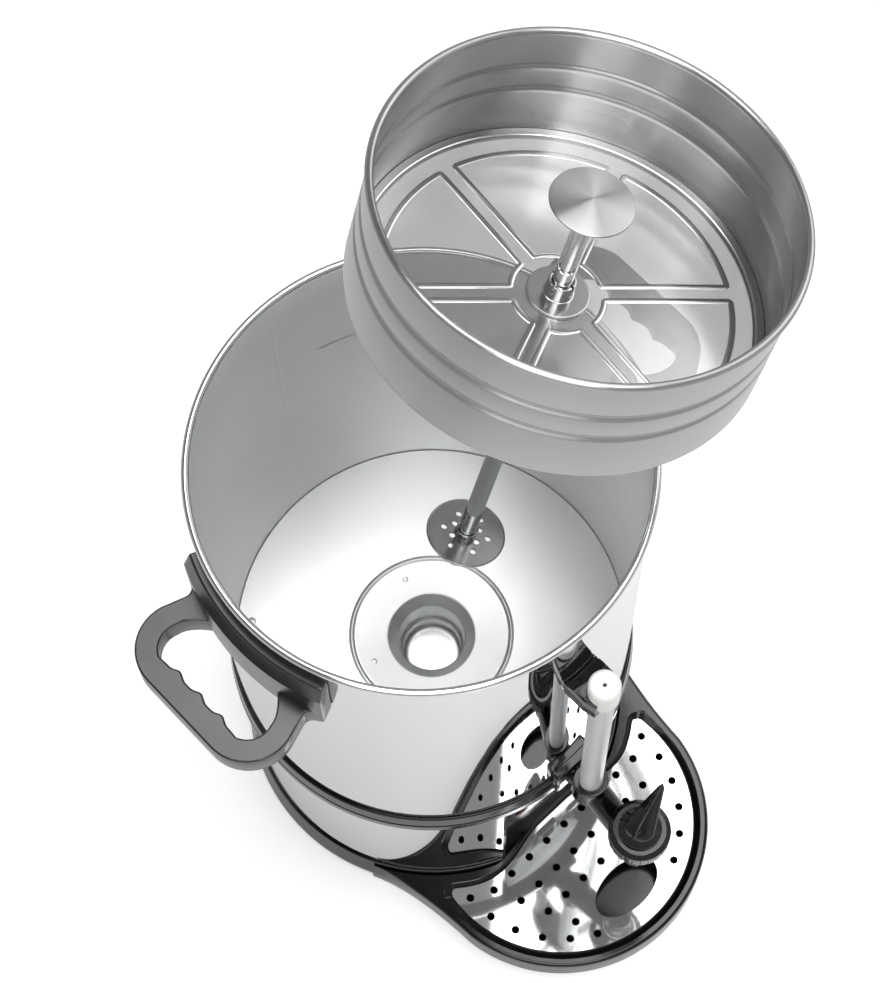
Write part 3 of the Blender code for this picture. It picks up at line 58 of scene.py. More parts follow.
# Foot ring: the black moulded ring that carries the whole urn, flared towards the table.
# Glossy ABS. Its front is left open for the panel and for the tongue of the drip tray.
def shade(code):
    """Linear colour of an sRGB hex code."""
    parts = [int(code[start:start + 2], 16) / 255 for start in (1, 3, 5)]
    return [part / 12.92 if part <= 0.04045 else ((part + 0.055) / 1.055) ** 2.4 for part in parts] + [1]


def add(tree, kind, feeds=None, **settings):
    """Adds a node. Settings go to its properties; feeds give an input its value or its source socket."""
    node = tree.nodes.new(kind)
    for name, value in settings.items():
        setattr(node, name, value)
    for name, value in (feeds or {}).items():
        if isinstance(value, bpy.types.NodeSocket):
            tree.links.new(value, node.inputs[name])
        else:
            node.inputs[name].default_value = value
    return node


def finish(name, **values):
    """A material of one Principled surface, with the tree it stands in."""
    made = bpy.data.materials.new(name)
    made.use_nodes = True
    made.node_tree.nodes.clear()
    sockets = {key.replace("_", " ").title().replace("Ior", "IOR"): value for key, value in values.items()}
    surface = add(made.node_tree, "ShaderNodeBsdfPrincipled", sockets)
    add(made.node_tree, "ShaderNodeOutputMaterial", {"Surface": surface.outputs[0]})
    return made, made.node_tree, surface


def clouded(name, size, detail, rough=None, tones=None, relief=None, **values):
    """A material that drifts between two roughnesses or two tones, in clouds of a size in metres.

    A relief has a size of its own in metres, a detail, a strength and a depth.
    """
    made, tree, surface = finish(name, **values)
    spot = add(tree, "ShaderNodeTexCoord")
    cloud = add(tree, "ShaderNodeTexNoise", {
        "Vector": spot.outputs["Object"], "Scale": 1 / size, "Detail": detail,
    })
    if rough:
        dull = add(tree, "ShaderNodeMapRange", {
            "Value": cloud.outputs[0], "To Min": rough[0], "To Max": rough[1],
        })
        tree.links.new(dull.outputs[0], surface.inputs["Roughness"])
    if tones:
        # Here and below, a Mix node takes its two colours at sockets 6 and 7.
        tone = add(tree, "ShaderNodeMix", {
            0: cloud.outputs[0], 6: shade(tones[0]), 7: shade(tones[1]),
        }, data_type="RGBA")
        tree.links.new(tone.outputs[2], surface.inputs["Base Color"])
    if relief:
        relief_size, relief_detail, strength, depth = relief
        grain = add(tree, "ShaderNodeTexNoise", {
            "Vector": spot.outputs["Object"], "Scale": 1 / relief_size, "Detail": relief_detail,
        })
        bump = add(tree, "ShaderNodeBump", {
            "Height": grain.outputs[0], "Strength": strength, "Distance": depth,
        })
        tree.links.new(bump.outputs[0], surface.inputs["Normal"])
    return made


def eased(profile, radius, rest=0.0004):
    """Rounds the corners of a closed profile. A point's third value is a radius of its own."""
    points = []
    steps = 4
    for index, (across, up, *own) in enumerate(profile):
        here = Vector((across, up))
        back = Vector(profile[index - 1][:2]) - here
        on = Vector(profile[(index + 1) % len(profile)][:2]) - here
        bend = own[0] if own else radius
        cosine = max(-1, min(1, back.normalized().dot(on.normalized())))
        if across < 1e-6 or bend <= 0 or cosine < -0.995:
            points.append(here)
            continue
        reach = min(bend / math.tan(math.acos(cosine) / 2), 0.45 * back.length, 0.45 * on.length)
        first = here + back.normalized() * reach
        last = here + on.normalized() * reach
        if back.length > 3 * (reach + rest):
            points.append(first + back.normalized() * rest)
        for step in range(steps + 1):
            share = step / steps
            points.append(first * (1 - share) ** 2 + here * 2 * share * (1 - share) + last * share ** 2)
        if on.length > 3 * (reach + rest):
            points.append(last + on.normalized() * rest)
    return [(point.x, point.y) for point in points]


def smoothed(mesh, angle=32, level=False):
    """Shades a mesh smooth up to an angle; its level faces stay flat where asked."""
    mesh.shade_smooth()
    mesh.set_sharp_from_angle(angle=math.radians(angle))
    if level:
        for face in mesh.polygons:
            face.use_smooth = abs(face.normal.z) < 0.99995
    return mesh


def turned(profile, steps=128, angles=None):
    """A closed profile of radius and height turned about Z. Its UV map is in metres, round and along."""
    angles = angles or [math.tau * step / steps for step in range(steps)]
    steps = len(angles)
    widest = max(point[0] for point in profile)
    count = len(profile)
    turn = sum(profile[i - 1][0] * profile[i][1] - profile[i][0] * profile[i - 1][1] for i in range(count))
    verts, rings, along = [], [], [0]
    for index, (radius, height) in enumerate(profile):
        start = len(verts)
        if radius < 1e-6:
            verts.append((0, 0, height))
            rings.append([start] * steps)
        else:
            verts += [(radius * math.cos(a), radius * math.sin(a), height) for a in angles]
            rings.append(list(range(start, start + steps)))
        after = profile[(index + 1) % count]
        along.append(along[-1] + math.dist((radius, height), after))
    faces, places = [], []
    for index in range(count):
        one = rings[index]
        two = rings[(index + 1) % count]
        if one[0] == one[-1] and two[0] == two[-1]:
            continue
        for step in range(steps):
            after = (step + 1) % steps
            left = angles[step] * widest
            right = (angles[after] + (math.tau if after == 0 else 0)) * widest
            corners = [
                (one[step], left, along[index]), (one[after], right, along[index]),
                (two[after], right, along[index + 1]), (two[step], left, along[index + 1]),
            ]
            if one[step] == one[after]:
                corners.pop(1)
            elif two[step] == two[after]:
                corners.pop(2)
            if turn < 0:
                corners.reverse()
            faces.append([corner[0] for corner in corners])
            places += [(corner[1], corner[2]) for corner in corners]
    mesh = bpy.data.meshes.new("turned")
    mesh.from_pydata(verts, [], faces)
    layer = mesh.uv_layers.new(name="UVMap")
    layer.uv.foreach_set("vector", [number for pair in places for number in pair])
    return smoothed(mesh)


def block(low, high):
    """A plain box, used to cut with."""
    sizes = [top - bottom for bottom, top in zip(low, high)]
    verts = [
        [low[axis] + (sizes[axis] if corner >> axis & 1 else 0) for axis in range(3)] for corner in range(8)
    ]
    mesh = bpy.data.meshes.new("block")
    sides = ((0, 2, 3, 1), (4, 5, 7, 6), (0, 1, 5, 4), (2, 6, 7, 3), (0, 4, 6, 2), (1, 3, 7, 5))
    mesh.from_pydata(verts, [], sides)
    return mesh


def settled(thing, helpers=()):
    """The plain mesh of an object with its modifiers done; the object and its helpers are cleared away."""
    graph = bpy.context.evaluated_depsgraph_get()
    mesh = bpy.data.meshes.new_from_object(thing.evaluated_get(graph))
    for used in (thing, *helpers):
        bpy.data.objects.remove(used)
    return mesh


def worked(mesh, tools, operation="DIFFERENCE"):
    """The mesh after each tool is cut from it or joined to it."""
    thing = bpy.data.objects.new("work", mesh)
    helpers = [bpy.data.objects.new("tool", tool) for tool in tools]
    for item in (thing, *helpers):
        bpy.context.scene.collection.objects.link(item)
    for helper in helpers:
        step = thing.modifiers.new("step", "BOOLEAN")
        step.operation = operation
        step.solver = "EXACT"
        step.object = helper
    return settled(thing, helpers)


def place(name, mesh, surface, body, slot, *nodes):
    """Puts a finished mesh in the scene as a piece that rides on its body in place of CAD nodes."""
    mesh.name = name
    if not mesh.materials:
        mesh.materials.append(surface)
    mesh.materials[0] = surface
    piece = bpy.data.objects.new(name, mesh)
    bpy.context.scene.collection.objects.link(piece)
    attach(piece, body)
    if nodes:
        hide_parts(*nodes)


def built(loops, ring=False):
    """A solid whose wall runs through loops of outline and height. Loops that lie level are joined flat.
    The ends are capped, or the last loop is joined to the first."""
    verts, faces, spans = [], [], []
    for outline, height in loops:
        spans.append(range(len(verts), len(verts) + len(outline)))
        verts += [(x, y, height) for x, y in outline]

    def fill(groups, up):
        index = [number for group in groups for number in group]
        edges = [[Vector(verts[number]) for number in group] for group in groups]
        for corners in tessellate_polygon(edges):
            one, two, three = (index[corner] for corner in corners)
            (ax, ay, _), (bx, by, _), (cx, cy, _) = verts[one], verts[two], verts[three]
            turns_left = (bx - ax) * (cy - ay) > (cx - ax) * (by - ay)
            faces.append((one, two, three) if turns_left == up else (one, three, two))

    def area(outline):
        return sum(a[0] * b[1] - b[0] * a[1] for a, b in zip(outline, outline[1:] + outline[:1]))

    for index in range(len(loops) - (0 if ring else 1)):
        after = (index + 1) % len(loops)
        if abs(loops[index][1] - loops[after][1]) < 1e-9:
            fill([spans[index], spans[after]], area(loops[index][0]) > area(loops[after][0]))
            continue
        one, two = spans[index], spans[after]
        for point in range(len(one)):
            onward = (point + 1) % len(one)
            faces.append((one[point], one[onward], two[onward], two[point]))
    if not ring:
        fill([spans[0]], False)
        fill([spans[-1]], True)
    mesh = bpy.data.meshes.new("built")
    mesh.from_pydata(verts, [], faces)
    return smoothed(mesh, level=True)


def bay(across, radius, depth, narrow, wide):
    """A point of an edge that follows the urn's foot and swings in to a depth under the panel."""
    share = max(0, min(1, (abs(across) - narrow) / (wide - narrow)))
    share = share * share * (3 - 2 * share)
    return (across, -math.sqrt(radius ** 2 - across ** 2) * share - depth * (1 - share))


# Glossy black ABS from a polished mould: near black, with a clear reflection that a faint
# orange peel of about 3 mm breaks up.
black_gloss = clouded(
    "glossy_black_abs", 0.025, 3, (0.08, 0.17), relief=(0.003, 2, 0.05, 0.0004),
    base_color=shade("#0A0A0B"), ior=1.53,
)

ring = turned(eased([
    (0.1120, 0.0040), (0.1347, 0.0040), (0.1350, 0.0100, 0.004), (0.1318, 0.0300), (0.1306, 0.0300, 0.0003),
    (0.1306, 0.0272, 0.0003), (0.1220, 0.0272), (0.1220, 0.0100), (0.1120, 0.0100),
], 0.0008), 160)
window = 0.0488
recess = [bay(0.085 * (1 - step / 20), 0.1353, 0.1165, 0.016, 0.080) for step in range(41)]
recess = [(-0.085, -0.3), (0.085, -0.3)] + recess
ring = worked(ring, [
    block((-window, -0.3, 0.0100), (window, -0.1132, 0.5)), built([(recess, -0.01), (recess, 0.5)]),
])
place("base_foot", smoothed(ring), black_gloss, "urn", "black_gloss_plastic", "foot_ring")


# Rubber feet and base screws: four of each under the foot, set round the urn's axis at quarter turns.
# The feet are moulded rubber plugs pushed into the bottom plate; the screws are zinc-plated steel.
def moved(mesh, matrix):
    """The mesh, put in its place."""
    mesh.transform(matrix)
    return mesh


def run(mesh, tree, **values):
    """The plain mesh that a node tree makes of a mesh, with the tree's inputs set by their labels."""
    thing = bpy.data.objects.new("work", mesh)
    bpy.context.scene.collection.objects.link(thing)
    step = thing.modifiers.new("nodes", "NODES")
    step.node_group = tree
    for socket in tree.interface.items_tree:
        label = socket.name.lower().replace(" ", "_")
        if socket.in_out == "INPUT" and label in values:
            step[socket.identifier] = values[label]
    return settled(thing)


def node_tree(name, **inputs):
    """An empty node tree that takes and gives geometry, with its named inputs."""
    tree = bpy.data.node_groups.new(name, "GeometryNodeTree")
    tree.interface.new_socket("Geometry", in_out="INPUT", socket_type="NodeSocketGeometry")
    for label, kind in inputs.items():
        tree.interface.new_socket(
            label.replace("_", " ").capitalize(), in_out="INPUT", socket_type="NodeSocket" + kind,
        )
    tree.interface.new_socket("Geometry", in_out="OUTPUT", socket_type="NodeSocketGeometry")
    return tree, add(tree, "NodeGroupInput").outputs


def ended(tree, source, given):
    """Ends a node tree: real geometry, all in the surface that the tree is given."""
    whole = add(tree, "GeometryNodeRealizeInstances", {0: source.outputs[0]})
    painted = add(tree, "GeometryNodeSetMaterial", {
        "Geometry": whole.outputs[0], "Material": given["Surface"],
    })
    add(tree, "NodeGroupOutput", {0: painted.outputs[0]})


def cross(half_length, half_width, low, high):
    """Two crossed bars, used to cut a slot with."""
    return [
        block((-half_length, -half_width, low), (half_length, half_width, high)),
        block((-half_width, -half_length, low), (half_width, half_length, high)),
    ]


copies, given = node_tree("copies_round_the_axis", count="Int", first_angle="Float", surface="Material")
share = add(copies, "ShaderNodeMath", {0: math.tau, 1: given["Count"]}, operation="DIVIDE")
number = add(copies, "GeometryNodeInputIndex")
angle = add(
    copies, "ShaderNodeMath", {0: number.outputs[0], 1: share.outputs[0], 2: given["First angle"]},
    operation="MULTIPLY_ADD",
)
around = add(copies, "ShaderNodeCombineXYZ", {"Z": angle.outputs[0]})
rotation = add(copies, "FunctionNodeEulerToRotation", {0: around.outputs[0]})
points = add(copies, "GeometryNodePoints", {"Count": given["Count"]})
spread = add(copies, "GeometryNodeInstanceOnPoints", {
    "Points": points.outputs[0], "Instance": given["Geometry"], "Rotation": rotation.outputs[0],
})
ended(copies, spread, given)

# Black rubber: matt and slightly dusty, with a fine grain of about 1 mm.
rubber = clouded(
    "black_moulded_rubber", 0.001, 3, tones=("#141414", "#242423"), relief=(0.001, 3, 0.2, 0.0002),
    roughness=0.7, ior=1.52,
)

# Zinc-plated steel: a dull silver with a soft spangle of about 4 mm.
zinc, tree, surface = finish("zinc_plated_steel", metallic=1.0)
spot = add(tree, "ShaderNodeTexCoord")
spangle = add(tree, "ShaderNodeTexVoronoi", {"Vector": spot.outputs["Object"], "Scale": 1 / 0.004})
dull = add(tree, "ShaderNodeMapRange", {
    "Value": spangle.outputs["Distance"], "To Min": 0.28, "To Max": 0.42,
})
tone = add(tree, "ShaderNodeMix", {
    0: spangle.outputs["Distance"], 6: shade("#B9BDC0"), 7: shade("#A3A7AA"),
}, data_type="RGBA")
tree.links.new(tone.outputs[2], surface.inputs["Base Color"])
tree.links.new(dull.outputs[0], surface.inputs["Roughness"])

foot = turned(eased([
    (0, 0.0148), (0.0030, 0.0148), (0.0045, 0.0118), (0.0030, 0.0118), (0.0030, 0.0100), (0.0110, 0.0100),
    (0.0095, 0, 0.0008), (0, 0),
], 0.0005), 40)
eighth_turn = math.pi / 4
foot = moved(foot, Matrix.Translation((0.0800, 0, 0)))
foot = run(foot, copies, count=4, first_angle=eighth_turn, surface=rubber)
place(
    "rubber_feet", foot, rubber, "urn", "black_rubber",
    "rubber_foot_1", "rubber_foot_2", "rubber_foot_3", "rubber_foot_4",
)
screw = turned(eased([
    (0, 0.0137), (0.0018, 0.0137), (0.0018, 0.0037, 0.0001), (0.0034, 0.0037), (0.0027, 0.0015),
    (0, 0.0015),
], 0.0003), 32)
screw = worked(screw, cross(0.0019, 0.0004, 0, 0.0026))
screw = moved(smoothed(screw), Matrix.Translation((0.1170, 0, 0)))
screw = run(screw, copies, count=4, first_angle=eighth_turn, surface=zinc)
place(
    "bottom_screws", screw, zinc, "urn", "zinc_plated_steel",
    "base_screw_1", "base_screw_2", "base_screw_3", "base_screw_4",
)


# Bottom plate, the fittings sealed inside the base (heaters, controls and terminals) and the tap's seals.
# Pressed steel, steel-sheathed elements, ceramic bodies, a moulded block and silicone rings. Their solids
# are shown as they are.
def dress(surface, *nodes):
    """Gives CAD nodes a material of their own."""
    for node in nodes:
        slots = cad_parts[node].data.materials
        slots.clear()
        slots.append(surface)


# Steatite ceramic: cream white and unglazed, faintly speckled at 1 mm.
ceramic = clouded("unglazed_ceramic", 0.001, 4, tones=("#E6E0D2", "#CFC7B4"), roughness=0.6)

# White polypropylene: soft white, a little see-through at its edges, with a silky shine.
white_plastic = clouded(
    "white_polypropylene", 0.004, 3, (0.25, 0.36), base_color=shade("#F1F1EE"), ior=1.49,
    subsurface_weight=0.08, subsurface_radius=(0.002, 0.002, 0.002),
)

# White silicone: milky and dull, clouded over 5 mm.
silicone = clouded(
    "white_silicone", 0.005, 2, tones=("#DADAD6", "#EAEAE6"), roughness=0.5, ior=1.41,
)
dress(zinc, "bottom_plate", "pump_heater", "warmer_element")
dress(ceramic, "thermostat", "thermal_cutout")
dress(white_plastic, "terminal_block", "tap_plug")
dress(silicone, "gauge_seal", "tap_gasket")


# Base casing: a band of stainless sheet, rolled and polished, that stands in the foot ring's seat.
# Its front is cut away for the panel, and its back is drilled for the cable gland.
def drum(radius, low, high, steps):
    """A plain upright cylinder, used to cut with."""
    return turned([(0, low), (radius, low), (radius, high), (0, high)], steps)


# Polished sheet mirrors the table, very slightly rippled over 60 mm by the rolling.
polished = clouded(
    "polished_stainless_steel", 0.030, 4, (0.01, 0.03), relief=(0.060, 1, 0.05, 0.001),
    base_color=shade("#E2E3E4"), metallic=1.0,
)

casing = turned([(0.1303, 0.1701), (0.1303, 0.0275), (0.1293, 0.0275), (0.1293, 0.1701)], 192)
gland_hole = moved(
    drum(0.0083, 0.08, 0.2, 48),
    Matrix.Translation((0, 0, 0.0550)) @ Matrix.Rotation(math.radians(-90), 4, "X"),
)
casing = worked(casing, [block((-window, -0.3, 0), (window, -0.1132, 0.5)), gland_hole])
place("casing_band", smoothed(casing), polished, "urn", "polished_stainless", "base_casing")


# Cable gland at the back of the base: a black nylon bush with grip grooves round its head.
# It screws through the casing into a nut inside.
# Black nylon: matt, with a fine spark-eroded mould texture of 0.6 mm.
black_matt = clouded(
    "matt_black_nylon", 0.020, 3, (0.34, 0.46), relief=(0.0006, 2, 0.08, 0.0002),
    base_color=shade("#131314"), ior=1.53,
)

gland = turned(eased([
    (0.0040, 0.0070), (0.0087, 0.0070), (0.0112, 0.0045), (0.0112, 0), (0.0080, 0), (0.0080, -0.0160),
    (0.0040, -0.0160),
], 0.0006), 64)
groove = block((0.0105, -0.0007, 0.0006), (0.0115, 0.0007, 0.0042))
gland = worked(gland, [run(groove, copies, count=18, first_angle=0.0, surface=black_matt)])
at_gland = Matrix.Translation((0, 0.1306, 0.0550)) @ Matrix.Rotation(math.radians(-90), 4, "X")
gland = moved(smoothed(gland), at_gland)
place("gland_bush", gland, black_matt, "urn", "black_matt_plastic", "cable_gland")
dress(black_matt, "gland_nut")


# Front panel: a black moulded channel set back into the casing under the tap, with a rocker switch
# and two amber pilot lamps snapped into it.
def inset(outline, distance):
    """A closed outline, counter-clockwise, moved inwards."""
    result = []
    for index in range(len(outline)):
        here = Vector(outline[index])
        one = (here - Vector(outline[index - 1])).normalized()
        two = (Vector(outline[(index + 1) % len(outline)]) - here).normalized()
        inward = Vector((-one.y - two.y, one.x + two.x)).normalized()
        slope = max(0.4, inward.dot(Vector((-one.y, one.x))))
        point = here + inward * (distance / slope)
        result.append((point.x, point.y))
    return result


def corner(outline, height, edge, way=1, up=1):
    """Loops that round an edge, from its wall to its level face. Way is -1 where the solid lies outside."""
    loops = []
    steps = 3
    for step in range(steps + 1):
        angle = math.pi / 2 * step / steps
        loop = inset(outline, way * edge * (1 - math.cos(angle)))
        loops.append((loop, height - up * edge * (1 - math.sin(angle))))
    return loops


def arc(centre, radius, start, end, steps):
    """Points along an arc, by its angles in degrees."""
    angles = [math.radians(start + (end - start) * step / steps) for step in range(steps + 1)]
    return [
        (centre[0] + radius * math.cos(angle), centre[1] + radius * math.sin(angle)) for angle in angles
    ]


def rounded_box(half_width, half_depth, radius):
    """Outline of a rectangle about the origin, with round corners."""
    points = []
    for turn, (across, deep) in enumerate(((1, 1), (-1, 1), (-1, -1), (1, -1))):
        middle = (across * (half_width - radius), deep * (half_depth - radius))
        points += arc(middle, radius, 90 * turn, 90 * turn + 90, 5)
    return points


panel_plan = [
    (-0.0485, -0.1208), (-0.0460, -0.1208), (-0.0460, -0.1165), (0.0460, -0.1165),
    (0.0460, -0.1208), (0.0485, -0.1208), (0.0485, -0.1135), (-0.0485, -0.1135),
]
switch_level, lamp_out = 0.0950, 0.0270
facing = Matrix.Translation((0, 0, switch_level)) @ Matrix.Rotation(math.radians(90), 4, "X")
panel = built(corner(panel_plan, 0.0103, 0.0003, 1, -1)[::-1] + corner(panel_plan, 0.1701, 0.0003))
panel = worked(panel, [
    block((-0.0073, -0.2, switch_level - 0.0113), (0.0073, -0.05, switch_level + 0.0113)),
    moved(drum(0.0048, 0.100, 0.140, 40), Matrix.Translation((-lamp_out, 0, 0)) @ facing),
    moved(drum(0.0048, 0.100, 0.140, 40), Matrix.Translation((lamp_out, 0, 0)) @ facing),
])
place("panel_channel", smoothed(panel), black_gloss, "urn", "black_gloss_plastic", "front_panel")

switch_frame = rounded_box(0.0090, 0.0130, 0.0020)
switch_box = rounded_box(0.0070, 0.0110, 0.0006)
switch_mouth = rounded_box(0.0058, 0.0098, 0.0008)
switch = built(
    [(switch_box, 0.0985), (switch_box, 0.1168), (switch_frame, 0.1168)]
    + corner(switch_frame, 0.1190, 0.0009)
    + corner(switch_mouth, 0.1190, 0.0005, -1)[::-1] + [(switch_mouth, 0.1080)]
)
place("switch_frame", moved(switch, facing), black_matt, "urn", "black_matt_plastic", "switch_body")

# The rocker keeps its solid, with its edges softened.
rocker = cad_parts["switch_rocker"]
weld = rocker.modifiers.new("weld", "WELD")
weld.merge_threshold = 0.00002
soft_edge = rocker.modifiers.new("soft_edge", "BEVEL")
soft_edge.width = 0.0007
soft_edge.segments = 3
dress(black_gloss, "switch_rocker")

# Amber acrylic: clear orange lenses, ribbed inside at 0.8 mm, that look dark until lit.
amber, tree, surface = finish(
    "amber_acrylic", base_color=shade("#5A3408"), roughness=0.12, ior=1.49, transmission_weight=0.45,
)
spot = add(tree, "ShaderNodeTexCoord")
flutes = add(tree, "ShaderNodeTexWave", {"Vector": spot.outputs["Object"], "Scale": 2 / (math.pi * 0.0008)})
bump = add(tree, "ShaderNodeBump", {"Height": flutes.outputs["Fac"], "Strength": 0.25, "Distance": 0.0003})
tree.links.new(bump.outputs[0], surface.inputs["Normal"])
for number, across in ((1, -lamp_out), (2, lamp_out)):
    lamp = turned(eased([
        (0, 0.0020), (0.0030, 0.0019), (0.0056, 0.0012), (0.0062, 0), (0.0045, 0), (0.0045, -0.0140),
        (0, -0.0140),
    ], 0.0005), 48)
    lamp = moved(lamp, Matrix.Translation((across, -0.1168, 0)) @ facing)
    place(f"lamp_lens_{number}", lamp, amber, "urn", "amber_lens", f"pilot_lamp_{number}")

# Trim ring: the black band that closes the joint between the tank and the base casing.
# Glossy ABS in two steps with a groove between them, notched in front for the tap.
trim = turned(eased([
    (0.1319, 0.1716), (0.1226, 0.1716), (0.1226, 0.1704), (0.1350, 0.1704), (0.1350, 0.1787, 0.0012),
    (0.1341, 0.1796, 0.0004), (0.1341, 0.1805, 0.0004), (0.1347, 0.1814, 0.001), (0.1336, 0.1916, 0.0012),
    (0.1327, 0.1925), (0.1319, 0.1925),
], 0.0005), 192)
trim = worked(trim, [block((-0.0168, -0.3, 0.1759), (0.0168, -0.06, 0.3))])
place("trim_band", smoothed(trim), black_gloss, "urn", "black_gloss_plastic", "trim_ring")

# Tank floor: stainless sheet spun to a shallow dish, with a groove for stiffness and a deep well for the
# pump heater, welded into the tank. Two weld spots stand on it inside the groove and a third near the wall.
# Satin floor sheet: light and evenly dull, so that it shows only soft pools of light, clouded over 60 mm.
satin_floor = clouded(
    "satin_stainless_floor", 0.060, 3, (0.28, 0.36), base_color=shade("#DCDDDD"), metallic=1.0,
)
dish = turned(eased([
    (0, 0.1253), (0.0192, 0.1253, 0.003), (0.0196, 0.1400, 0.001), (0.0212, 0.1416, 0.001),
    (0.0225, 0.1603, 0.002), (0.0292, 0.1663, 0.0025), (0.0517, 0.1698, 0.001),
    (0.0535, 0.1684, 0.001), (0.0553, 0.1698, 0.001), (0.1303, 0.1743, 0.0004), (0.1303, 0.1719, 0.0003),
    (0.1291, 0.1719, 0.0003), (0.1291, 0.1730, 0.0003), (0.0553, 0.1686, 0.001), (0.0535, 0.1672, 0.001),
    (0.0517, 0.1686, 0.001), (0.0304, 0.1651, 0.002), (0.0237, 0.1591, 0.002), (0.0218, 0.1241, 0.003),
    (0, 0.1241),
], 0.001), 192)
place("dished_floor", dish, satin_floor, "urn", "satin_stainless", "tank_floor")
spots = []
for across, deep, level, half_width in (
    (0.0140, 0.0407, 0.1681, 0.0022), (-0.0411, 0.0126, 0.1681, 0.0022), (-0.0819, 0.0887, 0.1737, 0.0026),
):
    weld_spot = turned(eased([
        (0, 0.0007), (0.45 * half_width, 0.0007, 0.001), (half_width, 0.0002), (half_width, -0.0012),
        (0, -0.0012),
    ], 0.0003), 24)
    spots.append(moved(weld_spot, Matrix.Translation((across, deep, level))))
spots = worked(spots[0], spots[1:], "UNION")
place("weld_spots", smoothed(spots), satin_floor, "urn", "satin_stainless")

# Tank wall: stainless sheet rolled and seam-welded, mirror polished outside and satin inside, with its
# mouth rolled over into a bead. A short level line is pressed into the inside, across from the gauge.
# Satin steel: a soft even grey inside, clouded over 50 mm where the sheet was rubbed down by hand.
satin = clouded(
    "satin_stainless_steel", 0.050, 4, (0.42, 0.54), tones=("#EAEBEB", "#F4F4F4"), metallic=1.0,
)

bead_centre, bead = (0.1327, 0.4877), 0.0023
outside = math.degrees(-math.acos((0.1316 - bead_centre[0]) / bead))
inside = math.degrees(math.tau - math.acos((0.1306 - bead_centre[0]) / bead))
line_level, line_half = 0.3890, 0.0011
steps_down = [0.4600, 0.4300, line_level + 0.003]
steps_down += [line_level + line_half * share for share in (1, 0.5, 0, -0.5, -1)]
steps_down += [line_level - 0.003, 0.3500, 0.3000, 0.2500, 0.2000]
wall_profile = [(0.1316, 0.1719), (0.1316, 0.3300), (0.1316, 0.4830)]
wall_profile += arc(bead_centre, bead, outside, inside, 18)
wall_profile += [(0.1306, level) for level in steps_down] + [(0.1306, 0.1719)]
seam = math.radians(89)
seam_steps = [seam + math.radians(step) for step in (-0.7, -0.35, -0.15, 0, 0.15, 0.35, 0.7)]
wall_angles = [math.radians(1.5 * step) for step in range(240)]
wall_angles = sorted([angle for angle in wall_angles if abs(angle - seam) > math.radians(1)] + seam_steps)
wall = turned(wall_profile, angles=wall_angles)
for vertex in wall.vertices:
    radius = math.hypot(vertex.co.x, vertex.co.y)
    if radius > 0.13065 or vertex.co.z > 0.48:
        continue
    angle = math.atan2(vertex.co.y, vertex.co.x)
    raised = 0.00012 * max(0, 1 - abs(angle - seam) / math.radians(0.6))
    if math.radians(66) < angle < math.radians(76):
        raised += 0.0006 * max(0, 1 - abs(vertex.co.z - line_level) / line_half)
    vertex.co.x -= raised * math.cos(angle)
    vertex.co.y -= raised * math.sin(angle)
wall.materials.append(polished)
wall.materials.append(satin)
for face in wall.polygons:
    if math.hypot(face.center.x, face.center.y) < 0.1310 and face.center.z < 0.486:
        face.material_index = 1
place("tank_wall", wall, polished, "urn", "polished_stainless", "tank_shell")

# Carrying handles: one on each side under the bead, each a curved pad against the tank with a loop for the
# fingers. Moulded in black phenolic, satin, with three finger ridges inside the grip.
# Satin phenolic: black, with a soft even reflection and a mould texture of 1.2 mm.
phenolic = clouded(
    "satin_black_phenolic", 0.015, 4, (0.20, 0.30), relief=(0.0012, 3, 0.07, 0.0003),
    base_color=shade("#262627"), ior=1.62,
)

pad_face, pad_half_angle = 0.1431, 23.5
tip, half_width, bend, bar, inner_bend = 0.1891, 0.0550, 0.0280, 0.0150, 0.0145
pitch, ridge_depth = 0.0178, 0.0024


def polar(radius, degrees):
    """A point by its radius and its angle from +X."""
    return (radius * math.cos(math.radians(degrees)), radius * math.sin(math.radians(degrees)))


def curve(start, pull, end, steps):
    """Points along a curve between two points, drawn towards a third."""
    shares = [step / steps for step in range(steps + 1)]
    return [
        tuple(a * (1 - t) ** 2 + b * 2 * t * (1 - t) + c * t * t for a, b, c in zip(start, pull, end))
        for t in shares
    ]


half_outer = arc((tip - bend, half_width - bend), bend, 0, 105, 20)
half_outer += curve((0.1405, 0.0494), (0.1352, 0.0474), polar(0.1425, 22.2), 5)
half_outer += [polar(0.1380, 22.2 * share) for share in (1, 0.75, 0.5, 0.25)]
loop_outer = half_outer + [polar(0.1380, 0)] + [(x, -y) for x, y in reversed(half_outer)]
half_inner = []
for step in range(1, 37):
    across = 1.5 * pitch * step / 36
    ridge = abs(math.cos(math.pi * across / pitch)) ** 4
    half_inner.append((tip - bar - ridge_depth * ridge, across))
half_inner += arc((tip - bend, half_width - bend), inner_bend, 22, 110, 14)
half_inner += curve((0.1535, 0.0400), (0.1470, 0.0378), polar(0.1424, 11.4), 5)
half_inner += [polar(0.1424, 8), polar(0.1424, 4)]
loop_inner = [(tip - bar - ridge_depth, 0)] + half_inner + [polar(0.1424, 0)]
loop_inner += [(x, -y) for x, y in reversed(half_inner)]
grip = built(
    corner(loop_outer, 0.4190, 0.0011, 1, -1)[::-1] + corner(loop_outer, 0.4390, 0.0011)
    + corner(loop_inner, 0.4390, 0.0011, -1)[::-1] + corner(loop_inner, 0.4190, 0.0011, -1, -1), ring=True,
)
pad_profile = eased([
    (0.1319, 0.4240), (pad_face, 0.4240), (pad_face, 0.4630, 0.0025), (0.1386, 0.4750, 0.0016),
    (0.1319, 0.4750),
], 0.0008)
stations = [(-pad_half_angle, 0.0009), (-pad_half_angle + 0.12, 0.0003), (-pad_half_angle + 0.4, 0)]
stations += [(angle, 0) for angle in range(-22, 23, 2)]
stations += [(-angle, shrink) for angle, shrink in reversed(stations[:3])]
